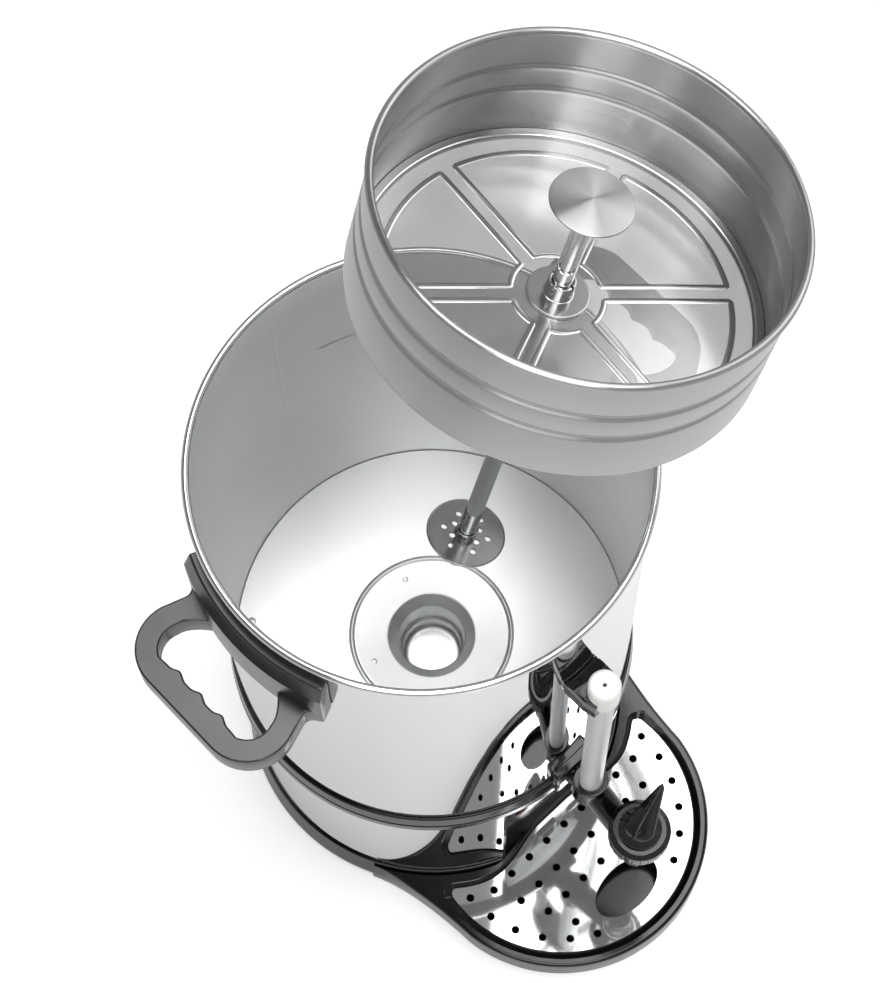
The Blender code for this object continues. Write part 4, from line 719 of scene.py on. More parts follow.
count = len(pad_profile)
pad_verts, pad_faces = [], []
for angle, shrink in stations:
    for radius, height in inset(pad_profile, shrink):
        pad_verts.append((*polar(radius, angle), height))
for station in range(len(stations) - 1):
    for point in range(count):
        one, two = station * count + point, station * count + (point + 1) % count
        pad_faces.append((one, one + count, two + count, two))
pad_faces.append(list(range(count)))
pad_faces.append(list(range(len(pad_verts) - 1, len(pad_verts) - count - 1, -1)))
pad = bpy.data.meshes.new("pad")
pad.from_pydata(pad_verts, [], pad_faces)
handle = smoothed(worked(grip, [pad], "UNION"), 30, True)
place("right_handle", handle.copy(), phenolic, "urn", "black_matt_plastic", "handle_right")
half_turn = Matrix.Rotation(math.pi, 4, "Z")
place("left_handle", moved(handle, half_turn), phenolic, "urn", "black_matt_plastic", "handle_left")

# Handle screws: two through the tank wall into each pad, with low round heads inside the tank.
# Zinc-plated steel with a cross slot.
screw = turned(eased([
    (0, 0.0085), (0.0022, 0.0085), (0.0022, 0, 0.0001), (0.0050, 0), (0.0046, -0.0010, 0.001),
    (0.0030, -0.0021, 0.002), (0, -0.0024),
], 0.0004), 40)
screw = worked(screw, cross(0.0026, 0.0005, -0.003, -0.0011))
at_wall = Matrix.Translation((0.1302, 0, 0.4490)) @ Matrix.Rotation(math.radians(90), 4, "Y")
screw = moved(smoothed(screw), at_wall)
for name, lean, nodes in (
    ("handle_screws_front", -13, ("handle_right_screw_1", "handle_left_screw_2")),
    ("handle_screws_back", 13, ("handle_right_screw_2", "handle_left_screw_1")),
):
    pair = run(screw.copy(), copies, count=2, first_angle=math.radians(lean), surface=zinc)
    place(name, pair, zinc, "urn", "zinc_plated_steel", *nodes)

# Tap: one black moulding with a flange and threaded shank on the tank, a socket for the gauge, a sloping
# arm and an upright barrel with its spout. A nut inside the tank holds it, and a bonnet closes the barrel.
inlet, gauge_line, tap_line = 0.1880, -0.1505, -0.1956


def rod(start, end, radius):
    """A round bar between two points, with soft ends."""
    start, end = Vector(start), Vector(end)
    length = (end - start).length
    bar = turned(eased([(0, 0), (radius, 0), (radius, length), (0, length)], 0.0006), 48)
    turn = Vector((0, 0, 1)).rotation_difference(end - start).to_matrix().to_4x4()
    return moved(bar, Matrix.Translation(start) @ turn)


def at(y, mesh):
    """The mesh, moved along Y."""
    return moved(mesh, Matrix.Translation((0, y, 0)))


tank_round = drum(0.1319, 0.1, 0.5, 192)
flange_plan = [(x, y - 0.1309) for x, y in rounded_box(0.0165, 0.0070, 0.0020)]
flange = built(corner(flange_plan, 0.1762, 0.0012, 1, -1)[::-1] + corner(flange_plan, 0.2060, 0.0012))
flange = worked(flange, [tank_round])
barrel = turned(eased([
    (0, 0.1300), (0.0085, 0.1300), (0.0085, 0.1500, 0.004), (0.0125, 0.1640, 0.006),
    (0.0160, 0.1800, 0.006), (0.0160, 0.1960), (0, 0.1960),
], 0.0008), 64)
socket = turned(eased([(0, 0.1762), (0.0118, 0.1762), (0.0118, 0.2020), (0, 0.2020)], 0.0012), 64)
tap = worked(rod((0, -0.1171, inlet), (0, gauge_line, inlet), 0.0090), [
    flange,
    at(gauge_line, socket),
    rod((0, gauge_line, inlet), (0, tap_line, 0.1600), 0.0095),
    at(tap_line, barrel),
], "UNION")
tap = worked(tap, [
    at(tap_line, drum(0.0065, 0.10, 0.165, 48)),
    at(gauge_line, drum(0.0079, 0.1954, 0.3, 48)),
    at(tap_line, drum(0.0115, 0.1567, 0.3, 48)),
    rod((0, 0, inlet), (0, gauge_line, inlet), 0.0050),
])
place("tap_moulding", smoothed(tap), black_gloss, "urn", "black_gloss_plastic", "tap_body")

bonnet = turned(eased([
    (0.0053, 0.2023), (0.0172, 0.2023, 0.0015), (0.0202, 0.1993, 0.0015), (0.0202, 0.1865),
    (0.0163, 0.1865), (0.0163, 0.1963), (0.0053, 0.1963),
], 0.0006), 96)
flute = turned([(0, 0.18), (0.0012, 0.18), (0.0012, 0.1975), (0, 0.1985)], 12)
flute = moved(flute, Matrix.Translation((0.0209, 0, 0)))
flutes = run(flute, copies, count=24, first_angle=0.0, surface=black_gloss)
bonnet = at(tap_line, smoothed(worked(bonnet, [flutes])))
place("tap_cap_nut", bonnet, black_gloss, "urn", "black_gloss_plastic", "tap_bonnet")

nut_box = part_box("tap_nut")
nut_middle = (nut_box[0] + nut_box[1]) / 2
nut_half = (nut_box[1].y - nut_box[0].y) / 2
hexagon = [polar(0.0122, 60 * side) for side in range(6)]
nut_bore = arc((0, 0), 0.0093, 0, 350, 35)
nut = built(
    corner(hexagon, -nut_half, 0.0006, 1, -1)[::-1] + corner(hexagon, nut_half, 0.0006)
    + [(nut_bore, nut_half), (nut_bore, -nut_half)], ring=True,
)
nut = moved(nut, Matrix.Translation(nut_middle) @ Matrix.Rotation(math.radians(90), 4, "X"))
place("tap_back_nut", nut, polished, "urn", "polished_stainless", "tap_nut")

# Tap lever: a thumb lever moulded in glossy black ABS, a round hub with one rising fin.
# It is pressed on the plug's spindle and turns the plug with it.
hub = turned(eased([
    (0, 0.2116), (0.0080, 0.2116, 0.002), (0.0140, 0.2056, 0.001), (0.0140, 0.2026), (0, 0.2026),
], 0.0006), 64)
fin_length, fin_half, fin_tip_half = 0.0290, 0.0104, 0.0024


def fin_plan(share):
    """Plan of the fin, at a share of its full width."""
    end = arc((fin_length - fin_tip_half, 0), fin_tip_half, -80, 80, 8)
    root = arc((0, 0), fin_half, 98, 262, 10)
    return [(x, y * share) for x, y in end + root]


fin = built([
    *corner(fin_plan(1), 0.2050, 0.0010, 1, -1)[::-1], (fin_plan(1), 0.2100), (fin_plan(0.90), 0.2112),
    (fin_plan(0.36), 0.2150), (fin_plan(0.18), 0.2156),
])
for vertex in fin.vertices:
    vertex.co.z += 0.0065 * max(0, vertex.co.x) / fin_length
lever = worked(hub, [fin], "UNION")
lever = worked(lever, [drum(0.0053, 0.19, 0.2086, 32)])
lever = moved(
    smoothed(lever), Matrix.Translation((0, tap_line, 0)) @ Matrix.Rotation(math.radians(17), 4, "Z"),
)
place("thumb_lever", lever, black_gloss, "tap_handle", "black_gloss_plastic", "tap_lever")

# Sight gauge: a frosted plastic tube that stands in the tap and shows the level, with a vented white cap.
# A black moulded bracket on the tank holds the cap.
# Frosted polycarbonate: pale grey and see-through only in a blurred way.
frosted = clouded(
    "frosted_polycarbonate", 0.008, 3, (0.30, 0.40), base_color=shade("#E6E7E8"), ior=1.585,
    transmission_weight=0.25,
)
tube = turned(eased([(0.0076, 0.4172), (0.0076, 0.1980), (0.0058, 0.1980), (0.0058, 0.4172)], 0.0003), 64)
place("sight_tube", at(gauge_line, tube), frosted, "urn", "clear_tube", "gauge_tube")
cap = turned(eased([
    (0.0012, 0.4215), (0.0085, 0.4215, 0.0012), (0.0097, 0.4195, 0.001), (0.0097, 0.4125, 0.0002),
    (0.0092, 0.4118, 0.0002), (0.0092, 0.4106, 0.0002), (0.0097, 0.4099, 0.0002), (0.0097, 0.3975),
    (0.0079, 0.3975), (0.0079, 0.4175), (0.0012, 0.4175),
], 0.0004), 64)
place("gauge_top", at(gauge_line, cap), white_plastic, "urn", "white_plastic", "gauge_cap")

bracket_plan = [
    (-0.0125, -0.1465), (-0.0105, -0.1545), (0.0105, -0.1545), (0.0125, -0.1465), (0.0125, -0.1190),
    (-0.0125, -0.1190),
]
bracket = built(corner(bracket_plan, 0.3870, 0.0008, 1, -1)[::-1] + corner(bracket_plan, 0.4080, 0.0012))
top_fall = Matrix.Rotation(math.radians(-22), 4, "X")
fall = block((-0.02, 0, 0), (0.02, 0.03, 0.02))
fall = moved(fall, Matrix.Translation((0, -0.1400, 0.4080)) @ top_fall)
groove = block((-0.02, -0.0009, -0.0016), (0.02, 0.0009, 0.01))
groove = moved(groove, Matrix.Translation((0, -0.1330, 0.4052)) @ top_fall)
bracket = worked(bracket, [fall, groove])
bracket = worked(bracket, [
    tank_round,
    at(gauge_line, drum(0.0100, 0.3972, 0.5, 64)),
    at(gauge_line, drum(0.0079, 0.3, 0.5, 64)),
])
place("gauge_clamp", smoothed(bracket), black_gloss, "urn", "black_gloss_plastic", "gauge_bracket")

# Riser: a polished stainless tube that the boiling water climbs, lifted out and leaning with the whole
# brewing set. A drilled valve disc sits near its foot, and a collar under the basket carries the basket.
set_place = Matrix.Translation((0.0019, -0.0249, 0.3744))
lean = Matrix.Rotation(math.radians(3.5), 4, "Z") @ Matrix.Rotation(math.radians(17.85), 4, "Y")
leaning = set_place @ lean
riser = turned(eased([(0.0053, 0.3400), (0.0053, 0), (0.0043, 0), (0.0043, 0.3400)], 0.0003), 64)
place("riser_pipe", moved(riser, leaning), polished, "riser", "polished_stainless", "riser_tube")


def lined_steel(name, shine, per_metre, detail, tones, rough):
    """Steel whose fine lines round the axis, by their number to a metre each way, draw out its shine."""
    made, tree, surface = finish(name, metallic=1.0, anisotropic=shine, anisotropic_rotation=0.25)
    where = add(tree, "ShaderNodeUVMap", uv_map="UVMap")
    stretch = add(tree, "ShaderNodeMapping", {"Vector": where.outputs[0], "Scale": (*per_metre, 1)})
    marks = add(tree, "ShaderNodeTexNoise", {"Vector": stretch.outputs[0], "Scale": 1, "Detail": detail})
    dull = add(tree, "ShaderNodeMapRange", {
        "Value": marks.outputs[0], "To Min": rough[0], "To Max": rough[1],
    })
    tone = add(tree, "ShaderNodeMix", {
        0: marks.outputs[0], 6: shade(tones[0]), 7: shade(tones[1]),
    }, data_type="RGBA")
    along = add(tree, "ShaderNodeTangent", direction_type="UV_MAP", uv_map="UVMap")
    tree.links.new(dull.outputs[0], surface.inputs["Roughness"])
    tree.links.new(tone.outputs[2], surface.inputs["Base Color"])
    tree.links.new(along.outputs[0], surface.inputs["Tangent"])
    return made, tree, surface, marks


# Spun steel: bright, with turning marks round the axis. The real marks are 0.1 mm apart; 0.6 mm shows.
spun, *_ = lined_steel(
    "spun_stainless_steel", 0.95, (3, 1 / 0.0006), 3, ("#BCBDBD", "#CACACA"), (0.28, 0.36),
)

collar = turned(eased([
    (0.0095, 0.2639), (0.0095, 0.2539), (0.0056, 0.2539), (0.0056, 0.2639),
], 0.0006), 64)
place("riser_collar", moved(collar, leaning), spun, "riser", "satin_stainless", "riser_stop")

drilled, given = node_tree(
    "drilled_sheet", outline="Object", hole_radius="Float", sides="Int", thickness="Float",
    surface="Material",
)
edge = add(drilled, "GeometryNodeObjectInfo", {"Object": given["Outline"]})
ring = add(drilled, "GeometryNodeCurvePrimitiveCircle", {
    "Resolution": given["Sides"], "Radius": given["Hole radius"],
})
spread = add(drilled, "GeometryNodeInstanceOnPoints", {
    "Points": given["Geometry"], "Instance": ring.outputs[0],
})
whole = add(drilled, "GeometryNodeRealizeInstances", {0: spread.outputs[0]})
both = add(drilled, "GeometryNodeJoinGeometry", {0: edge.outputs["Geometry"]})
drilled.links.new(whole.outputs[0], both.inputs[0])
face = add(drilled, "GeometryNodeFillCurve", {0: both.outputs[0]})
under = add(drilled, "GeometryNodeFlipFaces", {0: face.outputs[0]})
raised = add(drilled, "GeometryNodeExtrudeMesh", {
    "Mesh": face.outputs[0], "Offset": (0, 0, 1), "Offset Scale": given["Thickness"], "Individual": False,
})
sheet = add(drilled, "GeometryNodeJoinGeometry", {0: under.outputs[0]})
drilled.links.new(raised.outputs["Mesh"], sheet.inputs[0])
closed = add(drilled, "GeometryNodeMergeByDistance", {"Geometry": sheet.outputs[0], "Distance": 0.000001})
ended(drilled, closed, given)


def drill(outlines, centres, hole_radius, sides, thickness, surface):
    """A sheet of that plan with round holes at the centres."""
    lines = bpy.data.curves.new("outline", "CURVE")
    for outline in outlines:
        spline = lines.splines.new("POLY")
        spline.points.add(len(outline) - 1)
        spline.points.foreach_set("co", [number for x, y in outline for number in (x, y, 0, 1)])
        spline.use_cyclic_u = True
    edge = bpy.data.objects.new("outline", lines)
    bpy.context.scene.collection.objects.link(edge)
    dots = bpy.data.meshes.new("centres")
    dots.from_pydata([(x, y, 0) for x, y in centres], [], [])
    mesh = run(
        dots, drilled, outline=edge, hole_radius=hole_radius, sides=sides, thickness=thickness,
        surface=surface,
    )
    bpy.data.objects.remove(edge)
    return mesh


# Cold-rolled stainless sheet: a smooth light grey whose reflection is soft, clouded over 30 mm.
cold_rolled = clouded(
    "cold_rolled_stainless_steel", 0.030, 3, (0.13, 0.19), tones=("#C6C7C7", "#D2D2D2"), metallic=1.0,
)

# Darker stainless sheet: the same sheet given a darker grey, in clouds of 10 mm.
darker_sheet = clouded(
    "scalded_stainless_steel", 0.010, 3, (0.14, 0.22), tones=("#9A9B9B", "#A8A9A9"), metallic=1.0,
)

valve_holes = [polar(0.0134, 60 * step) for step in range(6)]
valve_holes += [polar(0.0086, 30 + 60 * step) for step in range(6)]
valve_edges = [arc((0, 0), 0.0231, 0, 357, 119), arc((0, 0), 0.0056, 0, 350, 35)]
valve = drill(valve_edges, valve_holes, 0.0018, 20, 0.0012, darker_sheet)
valve.transform(Matrix.Translation((0, 0, 0.0283)))
collar = turned(eased([
    (0.0067, 0.0345), (0.0067, 0.0289), (0.0056, 0.0289), (0.0056, 0.0345),
], 0.0005), 64)
rolled_edge = turned([(0.0230 + x, 0.0289 + y) for x, y in arc((0, 0), 0.0007, 0, 330, 11)], 96)
valve = worked(valve, [collar, rolled_edge], "UNION")
place("valve_plate", moved(smoothed(valve), leaning), darker_sheet, "riser", "satin_stainless", "valve_disc")

# Basket wall: stainless sheet rolled into a band, brushed round its girth, with two beads pressed in for
# stiffness, a rolled rim and a turned-in lip that the perforated bottom lies on.
# Brushed steel: fine lines round the band, 0.2 mm apart on the real one and drawn at 0.7 mm.
brushed, tree, surface, marks = lined_steel(
    "brushed_stainless_steel", 0.94, (12, 1 / 0.0007), 4, ("#B4B5B5", "#C4C4C4"), (0.23, 0.29),
)
bump = add(tree, "ShaderNodeBump", {"Height": marks.outputs[0], "Strength": 0.02, "Distance": 0.0002})
tree.links.new(bump.outputs[0], surface.inputs["Normal"])

basket_wall, basket_bore, basket_low, basket_rim = 0.1125, 0.1115, 0.2626, 0.3417
bead_depth, bead_half = 0.0012, 0.0034


def bead_line(radius):
    """Points up the band's wall through its two beads."""
    points = []
    for drop in (0.0460, 0.0287):
        for step in range(-6, 7):
            share = step / 6
            depth = bead_depth * (0.5 + 0.5 * math.cos(math.pi * share))
            points.append((radius - depth, basket_rim - drop + bead_half * share))
    return points


roll = 0.0023
roll_end = math.degrees(math.tau - math.acos((basket_bore - basket_wall) / roll))
band = arc((basket_wall - 0.0020, basket_low + 0.0010), 0.0020, -90, 0, 5) + [(basket_wall, 0.2750)]
band += bead_line(basket_wall) + [(basket_wall, 0.3300)]
band += arc((basket_wall, basket_rim - roll), roll, -90, roll_end, 16)
band += list(reversed(bead_line(basket_bore))) + [(basket_bore, 0.2750)]
band += arc((basket_bore - 0.0012, basket_low + 0.0012), 0.0012, 0, -90, 4)
band += [(0.1055, basket_low), (0.1055, basket_low - 0.0010)]
band = turned(band, 224)
place("basket_band", moved(band, leaning), brushed, "basket", "brushed_stainless", "basket_wall")

# Basket bottom: one disc of stainless sheet, finely perforated all over, clamped under the hub and held at
# its edge by a flat ring. Its square holes are about 0.2 mm wide and 0.4 mm apart, too fine to be seen
# one by one, so two crossing layers of flat bars make them.
sieve, given = node_tree(
    "perforated_sheet", radius="Float", pitch="Float", bar_width="Float", thickness="Float",
    surface="Material",
)
span = add(sieve, "ShaderNodeMath", {0: given["Radius"], 1: 2.0}, operation="MULTIPLY")
share = add(sieve, "ShaderNodeMath", {0: span.outputs[0], 1: given["Pitch"]}, operation="DIVIDE")
count = add(sieve, "ShaderNodeMath", {0: share.outputs[0]}, operation="FLOOR")
number = add(sieve, "GeometryNodeInputIndex")
middle = add(sieve, "ShaderNodeMath", {0: number.outputs[0], 1: 0.5}, operation="ADD")
offset = add(sieve, "ShaderNodeMath", {0: given["Radius"], 1: -1.0}, operation="MULTIPLY")
across = add(
    sieve, "ShaderNodeMath", {0: middle.outputs[0], 1: given["Pitch"], 2: offset.outputs[0]},
    operation="MULTIPLY_ADD",
)
spot = add(sieve, "ShaderNodeCombineXYZ", {"Y": across.outputs[0]})
points = add(sieve, "GeometryNodePoints", {"Count": count.outputs[0], "Position": spot.outputs[0]})
square = add(sieve, "ShaderNodeMath", {0: given["Radius"], 1: 2.0}, operation="POWER")
away = add(sieve, "ShaderNodeMath", {0: across.outputs[0], 1: across.outputs[0]}, operation="MULTIPLY")
left = add(sieve, "ShaderNodeMath", {0: square.outputs[0], 1: away.outputs[0]}, operation="SUBTRACT")
half = add(sieve, "ShaderNodeMath", {0: left.outputs[0]}, operation="SQRT")
chord = add(sieve, "ShaderNodeMath", {0: half.outputs[0], 1: 2.0}, operation="MULTIPLY")
size = add(sieve, "ShaderNodeCombineXYZ", {
    "X": chord.outputs[0], "Y": given["Bar width"], "Z": given["Thickness"],
})
bar = add(sieve, "GeometryNodeMeshCube", {"Size": (1, 1, 1)})
bars = add(sieve, "GeometryNodeInstanceOnPoints", {
    "Points": points.outputs[0], "Instance": bar.outputs[0], "Scale": size.outputs[0],
})
layer = add(sieve, "GeometryNodeRealizeInstances", {0: bars.outputs[0]})
half_bar = 0.00003
crossing = add(sieve, "GeometryNodeTransform", {
    "Geometry": layer.outputs[0], "Translation": (0, 0, half_bar), "Rotation": (0, 0, math.pi / 2),
})
both = add(sieve, "GeometryNodeJoinGeometry", {0: layer.outputs[0]})
sieve.links.new(crossing.outputs[0], both.inputs[0])
ended(sieve, both, given)

bottom = run(
    bpy.data.meshes.new("sheet"), sieve, radius=0.1080, pitch=0.0004, bar_width=0.00016,
    thickness=2 * half_bar, surface=cold_rolled,
)
bottom = moved(bottom, leaning @ Matrix.Translation((0, 0, 0.2637)))
place("basket_sieve", bottom, cold_rolled, "basket", "brushed_stainless", "basket_bottom")
edge_ring = turned(eased([
    (0.1112, 0.2641), (0.1112, 0.2629), (0.1064, 0.2629), (0.1064, 0.2638), (0.1072, 0.2641),
], 0.0002), 192)
place("sieve_border", moved(edge_ring, leaning), cold_rolled, "basket", "brushed_stainless")

# Sector borders: low rounded ridges pressed up out of the bottom round six rounded sectors, which leave
# the plain spokes between them.
piping, given = node_tree("ridge_along_a_line", radius="Float", flatness="Float", surface="Material")
path = add(piping, "GeometryNodeMeshToCurve", {0: given["Geometry"]})
section = add(piping, "GeometryNodeCurvePrimitiveCircle", {"Resolution": 14, "Radius": given["Radius"]})
ridge = add(piping, "GeometryNodeCurveToMesh", {0: path.outputs[0], 1: section.outputs[0]})
squeeze = add(piping, "ShaderNodeCombineXYZ", {"X": 1.0, "Y": 1.0, "Z": given["Flatness"]})
low = add(piping, "GeometryNodeTransform", {"Geometry": ridge.outputs[0], "Scale": squeeze.outputs[0]})
ended(piping, low, given)

sector_in, sector_out, spoke_half, ridge_radius = 0.0250, 0.0940, 0.0046, 0.0017


def beside_spoke(radius):
    """Angle from the middle of a sector at which its border runs along a spoke."""
    return 30 - math.degrees(math.asin(spoke_half / radius))


outer_swing, inner_swing = beside_spoke(sector_out), beside_spoke(sector_in)
sector = arc((0, 0), sector_out, -outer_swing, outer_swing, 24)
sector += arc((0, 0), sector_in, inner_swing, -inner_swing, 8)
sector = eased([(x + 1, y) for x, y in sector], 0.0070, rest=1)
count = len(sector)
line = bpy.data.meshes.new("line")
sides = [(step, (step + 1) % count) for step in range(count)]
line.from_pydata([(x - 1, y, 0) for x, y in sector], sides, [])
ridges = run(line, piping, radius=ridge_radius, flatness=0.16, surface=cold_rolled)
ridges = run(ridges, copies, count=6, first_angle=math.radians(50), surface=cold_rolled)
ridges = smoothed(moved(ridges, leaning @ Matrix.Translation((0, 0, 0.2638))), 60)
place("sector_ridges", ridges, cold_rolled, "basket", "brushed_stainless")

# Basket hub: a turned washer and sleeve that clamp the perforated bottom and slide on the riser.
# The sleeve's top is slotted crosswise.
hub = turned(eased([
    (0.0076, 0.2757), (0.0076, 0.2657, 0.0006), (0.0170, 0.2657), (0.0170, 0.2642), (0.0057, 0.2642),
    (0.0057, 0.2757),
], 0.0004), 96)
hub = worked(hub, cross(0.02, 0.0008, 0.2690, 0.3))
place("hub_sleeve", moved(smoothed(hub), leaning), cold_rolled, "basket", "satin_stainless", "basket_hub")

# Spreader: a low stainless cone with fine turning marks that throws the water over the grounds.
# Its socket slips over the riser's top.
spreader = turned(eased([
    (0, 0.3427), (0.0222, 0.3394, 0.0004), (0.0222, 0.3382, 0.0004), (0.0210, 0.3382), (0.0071, 0.3401),
    (0.0071, 0.3273), (0.0056, 0.3273), (0.0056, 0.3403), (0, 0.3403),
], 0.0004), 128)
place("water_spreader", moved(spreader, leaning), spun, "spreader", "satin_stainless", "spreader_cap")

# Drip tray: a glossy black moulded dish in front of the urn, whose two horns hug the foot ring and whose
# tongue runs into the panel's recess. A ledge inside its rim carries the grid.
tray_middle, tray_radius, foot_radius, rim_top = (0, -0.1290), 0.1046, 0.1356, 0.0260


def front(radius, degrees):
    """A point by its radius and its angle from -Y."""
    return (radius * math.sin(math.radians(degrees)), -radius * math.cos(math.radians(degrees)))


grid_corner = 0.0890
rim = arc(tray_middle, 0.0940, -180 - 8.4, 8.4, 84)
back_edge = [bay(grid_corner * (1 - step / 24), 0.1433, 0.1210, 0.012, 0.090) for step in range(49)]
grid_plan = eased([(x + 1, y + 1) for x, y in rim + back_edge], 0.0060, rest=1)
grid_plan = [(x - 1, y - 1) for x, y in grid_plan]

rim = arc(tray_middle, tray_radius, -90 - 81, -90 + 81, 96)
flank = curve(rim[-1], (0.1065, -0.0900), front(foot_radius + 0.0003, 62.5), 12)[1:]
hug = [front(foot_radius, 62.5 - 2.5 * step) for step in range(1, 11)]
hug += [bay(hug[-1][0] * (1 - step / 20), foot_radius, 0.1171, 0.016, 0.080) for step in range(1, 20)]
tray_plan = [(-x, y) for x, y in reversed(flank)] + rim + flank + hug + [(0, -0.1171)]
tray_plan += [(-x, y) for x, y in reversed(hug)]
rim_edge, foot_belly, foot_middle = 0.0025, 0.0100, 0.0168
foot_lean, foot_gap, tip_reach, horn_blend = 0.16, 0.0005, 0.0004, 0.0120
# Each plan, moved by a whole metre, gives every point of it a way in or out.
far_in, far_out = inset(tray_plan, 1), inset(grid_plan, -1)
edges = [max(0, min(rim_edge, 0.3 * (math.hypot(*point) - foot_radius))) for point in tray_plan]
widths = [min(math.dist(point, other) for other in tray_plan) for point in grid_plan]


def tucked(x, y, level):
    """A point of the tray's edge drawn in at a level, so that the edge lies along the flared foot."""
    radius = math.hypot(x, y)
    lean = foot_lean * max(0, level - foot_belly)
    if radius > foot_radius + tip_reach:
        drawn = radius - lean * max(0, 1 - (radius - foot_radius) / horn_blend) ** 2
    else:
        drawn = min(radius, foot_radius + foot_gap - lean)
    return (x * drawn / radius, y * drawn / radius)


def rim_loop(degrees):
    """The tray's plan drawn in round its rim's outer edge."""
    share = 1 - math.cos(math.radians(degrees))
    level = rim_top - rim_edge * (1 - math.sin(math.radians(degrees)))
    loop = [
        tucked(x + (far[0] - x) * edge * share, y + (far[1] - y) * edge * share, level)
        for (x, y), far, edge in zip(tray_plan, far_in, edges)
    ]
    return (loop, level)


def slope_loop(share, drop):
    """The grid's plan moved out by a share of the rim's width there."""
    loop = [
        (x + (far[0] - x) * width * share, y + (far[1] - y) * width * share)
        for (x, y), far, width in zip(grid_plan, far_out, widths)
    ]
    return (loop, rim_top - drop)


ledge_out, ledge_in, ledge_level = inset(grid_plan, -0.0006), inset(grid_plan, 0.0030), 0.0227
tray = built(
    corner(tray_plan, 0, 0.0004, 1, -1)[::-1]
    + [([tucked(x, y, level) for x, y in tray_plan], level) for level in (foot_belly, foot_middle)]
    + [rim_loop(18 * step) for step in range(6)]
    + [slope_loop(0.50, 0), slope_loop(0.43, 0.0002), slope_loop(0.36, 0.0006), slope_loop(0.12, 0.0022)]
    + [(ledge_out, 0.0234), (ledge_out, ledge_level), (ledge_in, ledge_level)]
    + corner(ledge_in, 0.0025, 0.0015, 1, -1)
)
place("tray_dish", tray, black_gloss, "tray", "black_gloss_plastic", "drip_tray")

# Drip grid: a loose plate of mirror-polished stainless sheet with drain holes in staggered rows, a row of
# holes along its curved front and an oval cut-out under the spout.
# Bright stainless sheet: a mirror under a thin milky haze of wiping marks, which lifts dark reflections.
hazy = clouded(
    "bright_stainless_steel", 0.020, 4, (0.03, 0.06), base_color=shade("#E2E3E4"), metallic=0.80,
)

oval_wide, oval_deep, oval_margin = 0.0266, 0.0155, 0.0060
oval = [(oval_wide * x, tap_line + oval_deep * y) for x, y in arc((0, 0), 1, 0, 355, 71)]
drains = []
for row in range(4):
    y = -0.1330 - 0.0185 * row
    for column in range(-5, 6):
        x = (column + row % 2 / 2) * 0.0172
        across = x / (oval_wide + oval_margin)
        along = (y - tap_line) / (oval_deep + oval_margin)
        if math.hypot(across, along) > 1 and math.dist((x, y), tray_middle) < 0.0760:
            drains.append((x, y))
for step in range(2, 8):
    for side in (-1, 1):
        x, y = front(0.0848, side * 13.2 * step)
        drains.append((x, y + tray_middle[1]))
grid = drill([grid_plan, oval], drains, 0.0028, 28, 0.0015, hazy)
grid.transform(Matrix.Translation((0, 0, 0.0230)))
place("drain_plate", smoothed(grid), hazy, "grid", "polished_stainless", "drip_grid")

# The floor is plain level white paper that takes the urn's soft shadow. Its colour is painted grey further
# out, a painted shade for the light falling off away from the urn. A glow lifts it for the camera.
# Reflections and the gauge tube see a small share of the glow near the urn and all of it far away, where
# the floor meets the pale walls.
floor_mesh = bpy.data.meshes.new("studio_floor")
floor_corners = [(-40, -40, 0), (40, -40, 0), (40, 40, 0), (-40, 40, 0)]
floor_mesh.from_pydata(floor_corners, [], [(0, 1, 2, 3)])
floor = bpy.data.objects.new("studio_floor", floor_mesh)
bpy.context.scene.collection.objects.link(floor)
white = bpy.data.materials.new("white_paper")
white.use_nodes = True
tree = white.node_tree
tree.nodes.clear()
spot = add(tree, "ShaderNodeTexCoord")
reach = add(tree, "ShaderNodeVectorMath", {0: spot.outputs["Object"]}, operation="LENGTH")
# Painted shade: the paper's colour falls from white to grey between 0.7 m and 1.9 m from the urn.
fall = add(tree, "ShaderNodeMapRange", {
    "Value": reach.outputs["Value"], "From Min": 0.70, "From Max": 1.90,
}, interpolation_type="SMOOTHSTEP")
tone = add(tree, "ShaderNodeMix", {
    0: fall.outputs[0], 6: shade("#F2F2F2"), 7: shade("#B0B0B0"),
}, data_type="RGBA")
paper = add(tree, "ShaderNodeBsdfDiffuse", {"Color": tone.outputs[2]})
near, far = 1.60, 4.50
rise = add(tree, "ShaderNodeMapRange", {
    "Value": reach.outputs["Value"], "From Min": near, "From Max": far, "To Min": 0.45, "To Max": 0.90,
}, interpolation_type="SMOOTHSTEP")
glow = add(tree, "ShaderNodeEmission", {"Color": tone.outputs[2], "Strength": rise.outputs[0]})
lit = add(tree, "ShaderNodeAddShader", {0: paper.outputs[0], 1: glow.outputs[0]})
path = add(tree, "ShaderNodeLightPath")
through = add(tree, "ShaderNodeMath", {
    0: path.outputs["Is Glossy Ray"], 1: path.outputs["Is Transmission Ray"],
}, operation="MAXIMUM")
spread = add(tree, "ShaderNodeMapRange", {
    "Value": reach.outputs["Value"], "From Min": near, "From Max": far, "To Min": 0.15, "To Max": 1.0,
}, interpolation_type="SMOOTHSTEP")
part = add(tree, "ShaderNodeMath", {0: through.outputs[0], 1: spread.outputs[0]}, operation="MULTIPLY")
seen = add(tree, "ShaderNodeMath", {
    0: path.outputs["Is Camera Ray"], 1: part.outputs[0],
}, operation="MAXIMUM")
mixed = add(tree, "ShaderNodeMixShader", {0: seen.outputs[0], 1: paper.outputs[0], 2: lit.outputs[0]})
add(tree, "ShaderNodeOutputMaterial", {"Surface": mixed.outputs[0]})
floor_mesh.materials.append(white)


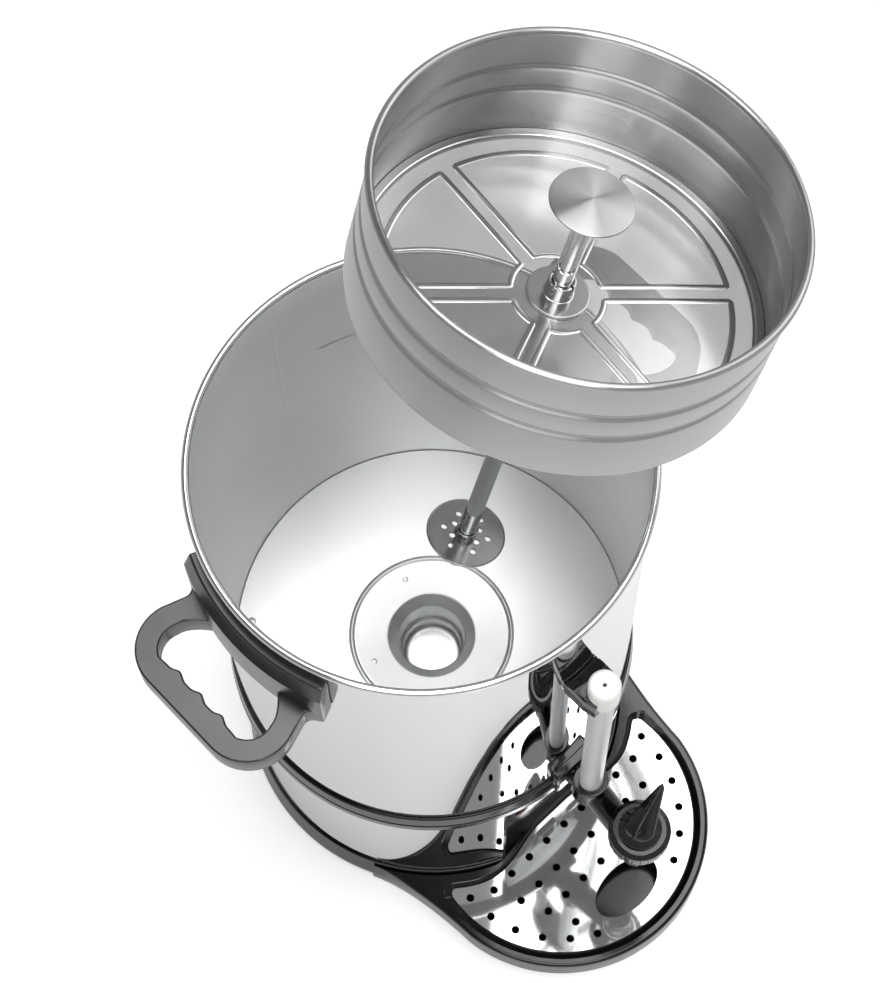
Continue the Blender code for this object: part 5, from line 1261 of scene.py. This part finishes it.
# Three rectangular softboxes light the urn: a long one above, a little to the right, which turns level
# plastic grey and level steel white, a weak one at the right and one at the front left. The room round
# them has pale grey walls and a darker ceiling.
def softbox(name, towards, distance, size, brightness, turn=0):
    """A soft light in a direction from the urn, by its two sizes, brightness and turn in degrees."""
    light = bpy.data.lights.new(name, "AREA")
    light.shape = "RECTANGLE"
    light.size, light.size_y = size
    light.energy = brightness * math.pi * size[0] * size[1]
    lamp = bpy.data.objects.new(name, light)
    aim = Vector(towards).normalized()
    urn_middle = Vector((0.02, -0.04, 0.3))
    facing_urn = aim.to_track_quat("Z", "Y").to_matrix().to_4x4()
    rolled = Matrix.Rotation(math.radians(turn), 4, "Z")
    lamp.matrix_world = Matrix.Translation(urn_middle + aim * distance) @ facing_urn @ rolled
    bpy.context.scene.collection.objects.link(lamp)


softbox("softbox_above", (0.17, -0.02, 0.98), 2.3, (2.0, 1.2), 4.6, 16)
softbox("softbox_right", (0.80, -0.02, 0.60), 2.4, (1.3, 1.5), 1.7)
softbox("softbox_left", (-0.42, -0.42, 0.80), 2.6, (1.7, 1.5), 3.4)
world = bpy.data.worlds.new("room")
world.use_nodes = True
tree = world.node_tree
tree.nodes.clear()
way = add(tree, "ShaderNodeTexCoord")
split = add(tree, "ShaderNodeSeparateXYZ", {0: way.outputs["Generated"]})
turn = add(tree, "ShaderNodeMath", {0: split.outputs["Y"], 1: split.outputs["X"]}, operation="ARCTAN2")
share = add(tree, "ShaderNodeMapRange", {
    "Value": turn.outputs[0], "From Min": -math.pi, "From Max": math.pi,
})
level = add(tree, "ShaderNodeValToRGB", {0: share.outputs[0]})
level.color_ramp.interpolation = "EASE"
panels = ((-180, 0.42), (-110, 0.50), (-40, 0.65), (25, 0.50), (90, 0.40), (180, 0.42))
for index, (degrees, brightness) in enumerate(panels):
    stops = level.color_ramp.elements
    place_along = (degrees + 180) / 360
    stop = stops[index] if index < len(stops) else stops.new(place_along)
    stop.position = place_along
    stop.color = (brightness, brightness, brightness, 1)
ceiling = add(tree, "ShaderNodeMapRange", {
    "Value": split.outputs["Z"], "From Min": 0.20, "From Max": 0.60, "To Min": 1.0, "To Max": 0.45,
}, interpolation_type="SMOOTHSTEP")
sky = add(tree, "ShaderNodeBackground", {"Color": level.outputs[0], "Strength": ceiling.outputs[0]})
add(tree, "ShaderNodeOutputWorld", {"Surface": sky.outputs[0]})
bpy.context.scene.world = world
bpy.context.scene.view_settings.view_transform = "Standard"
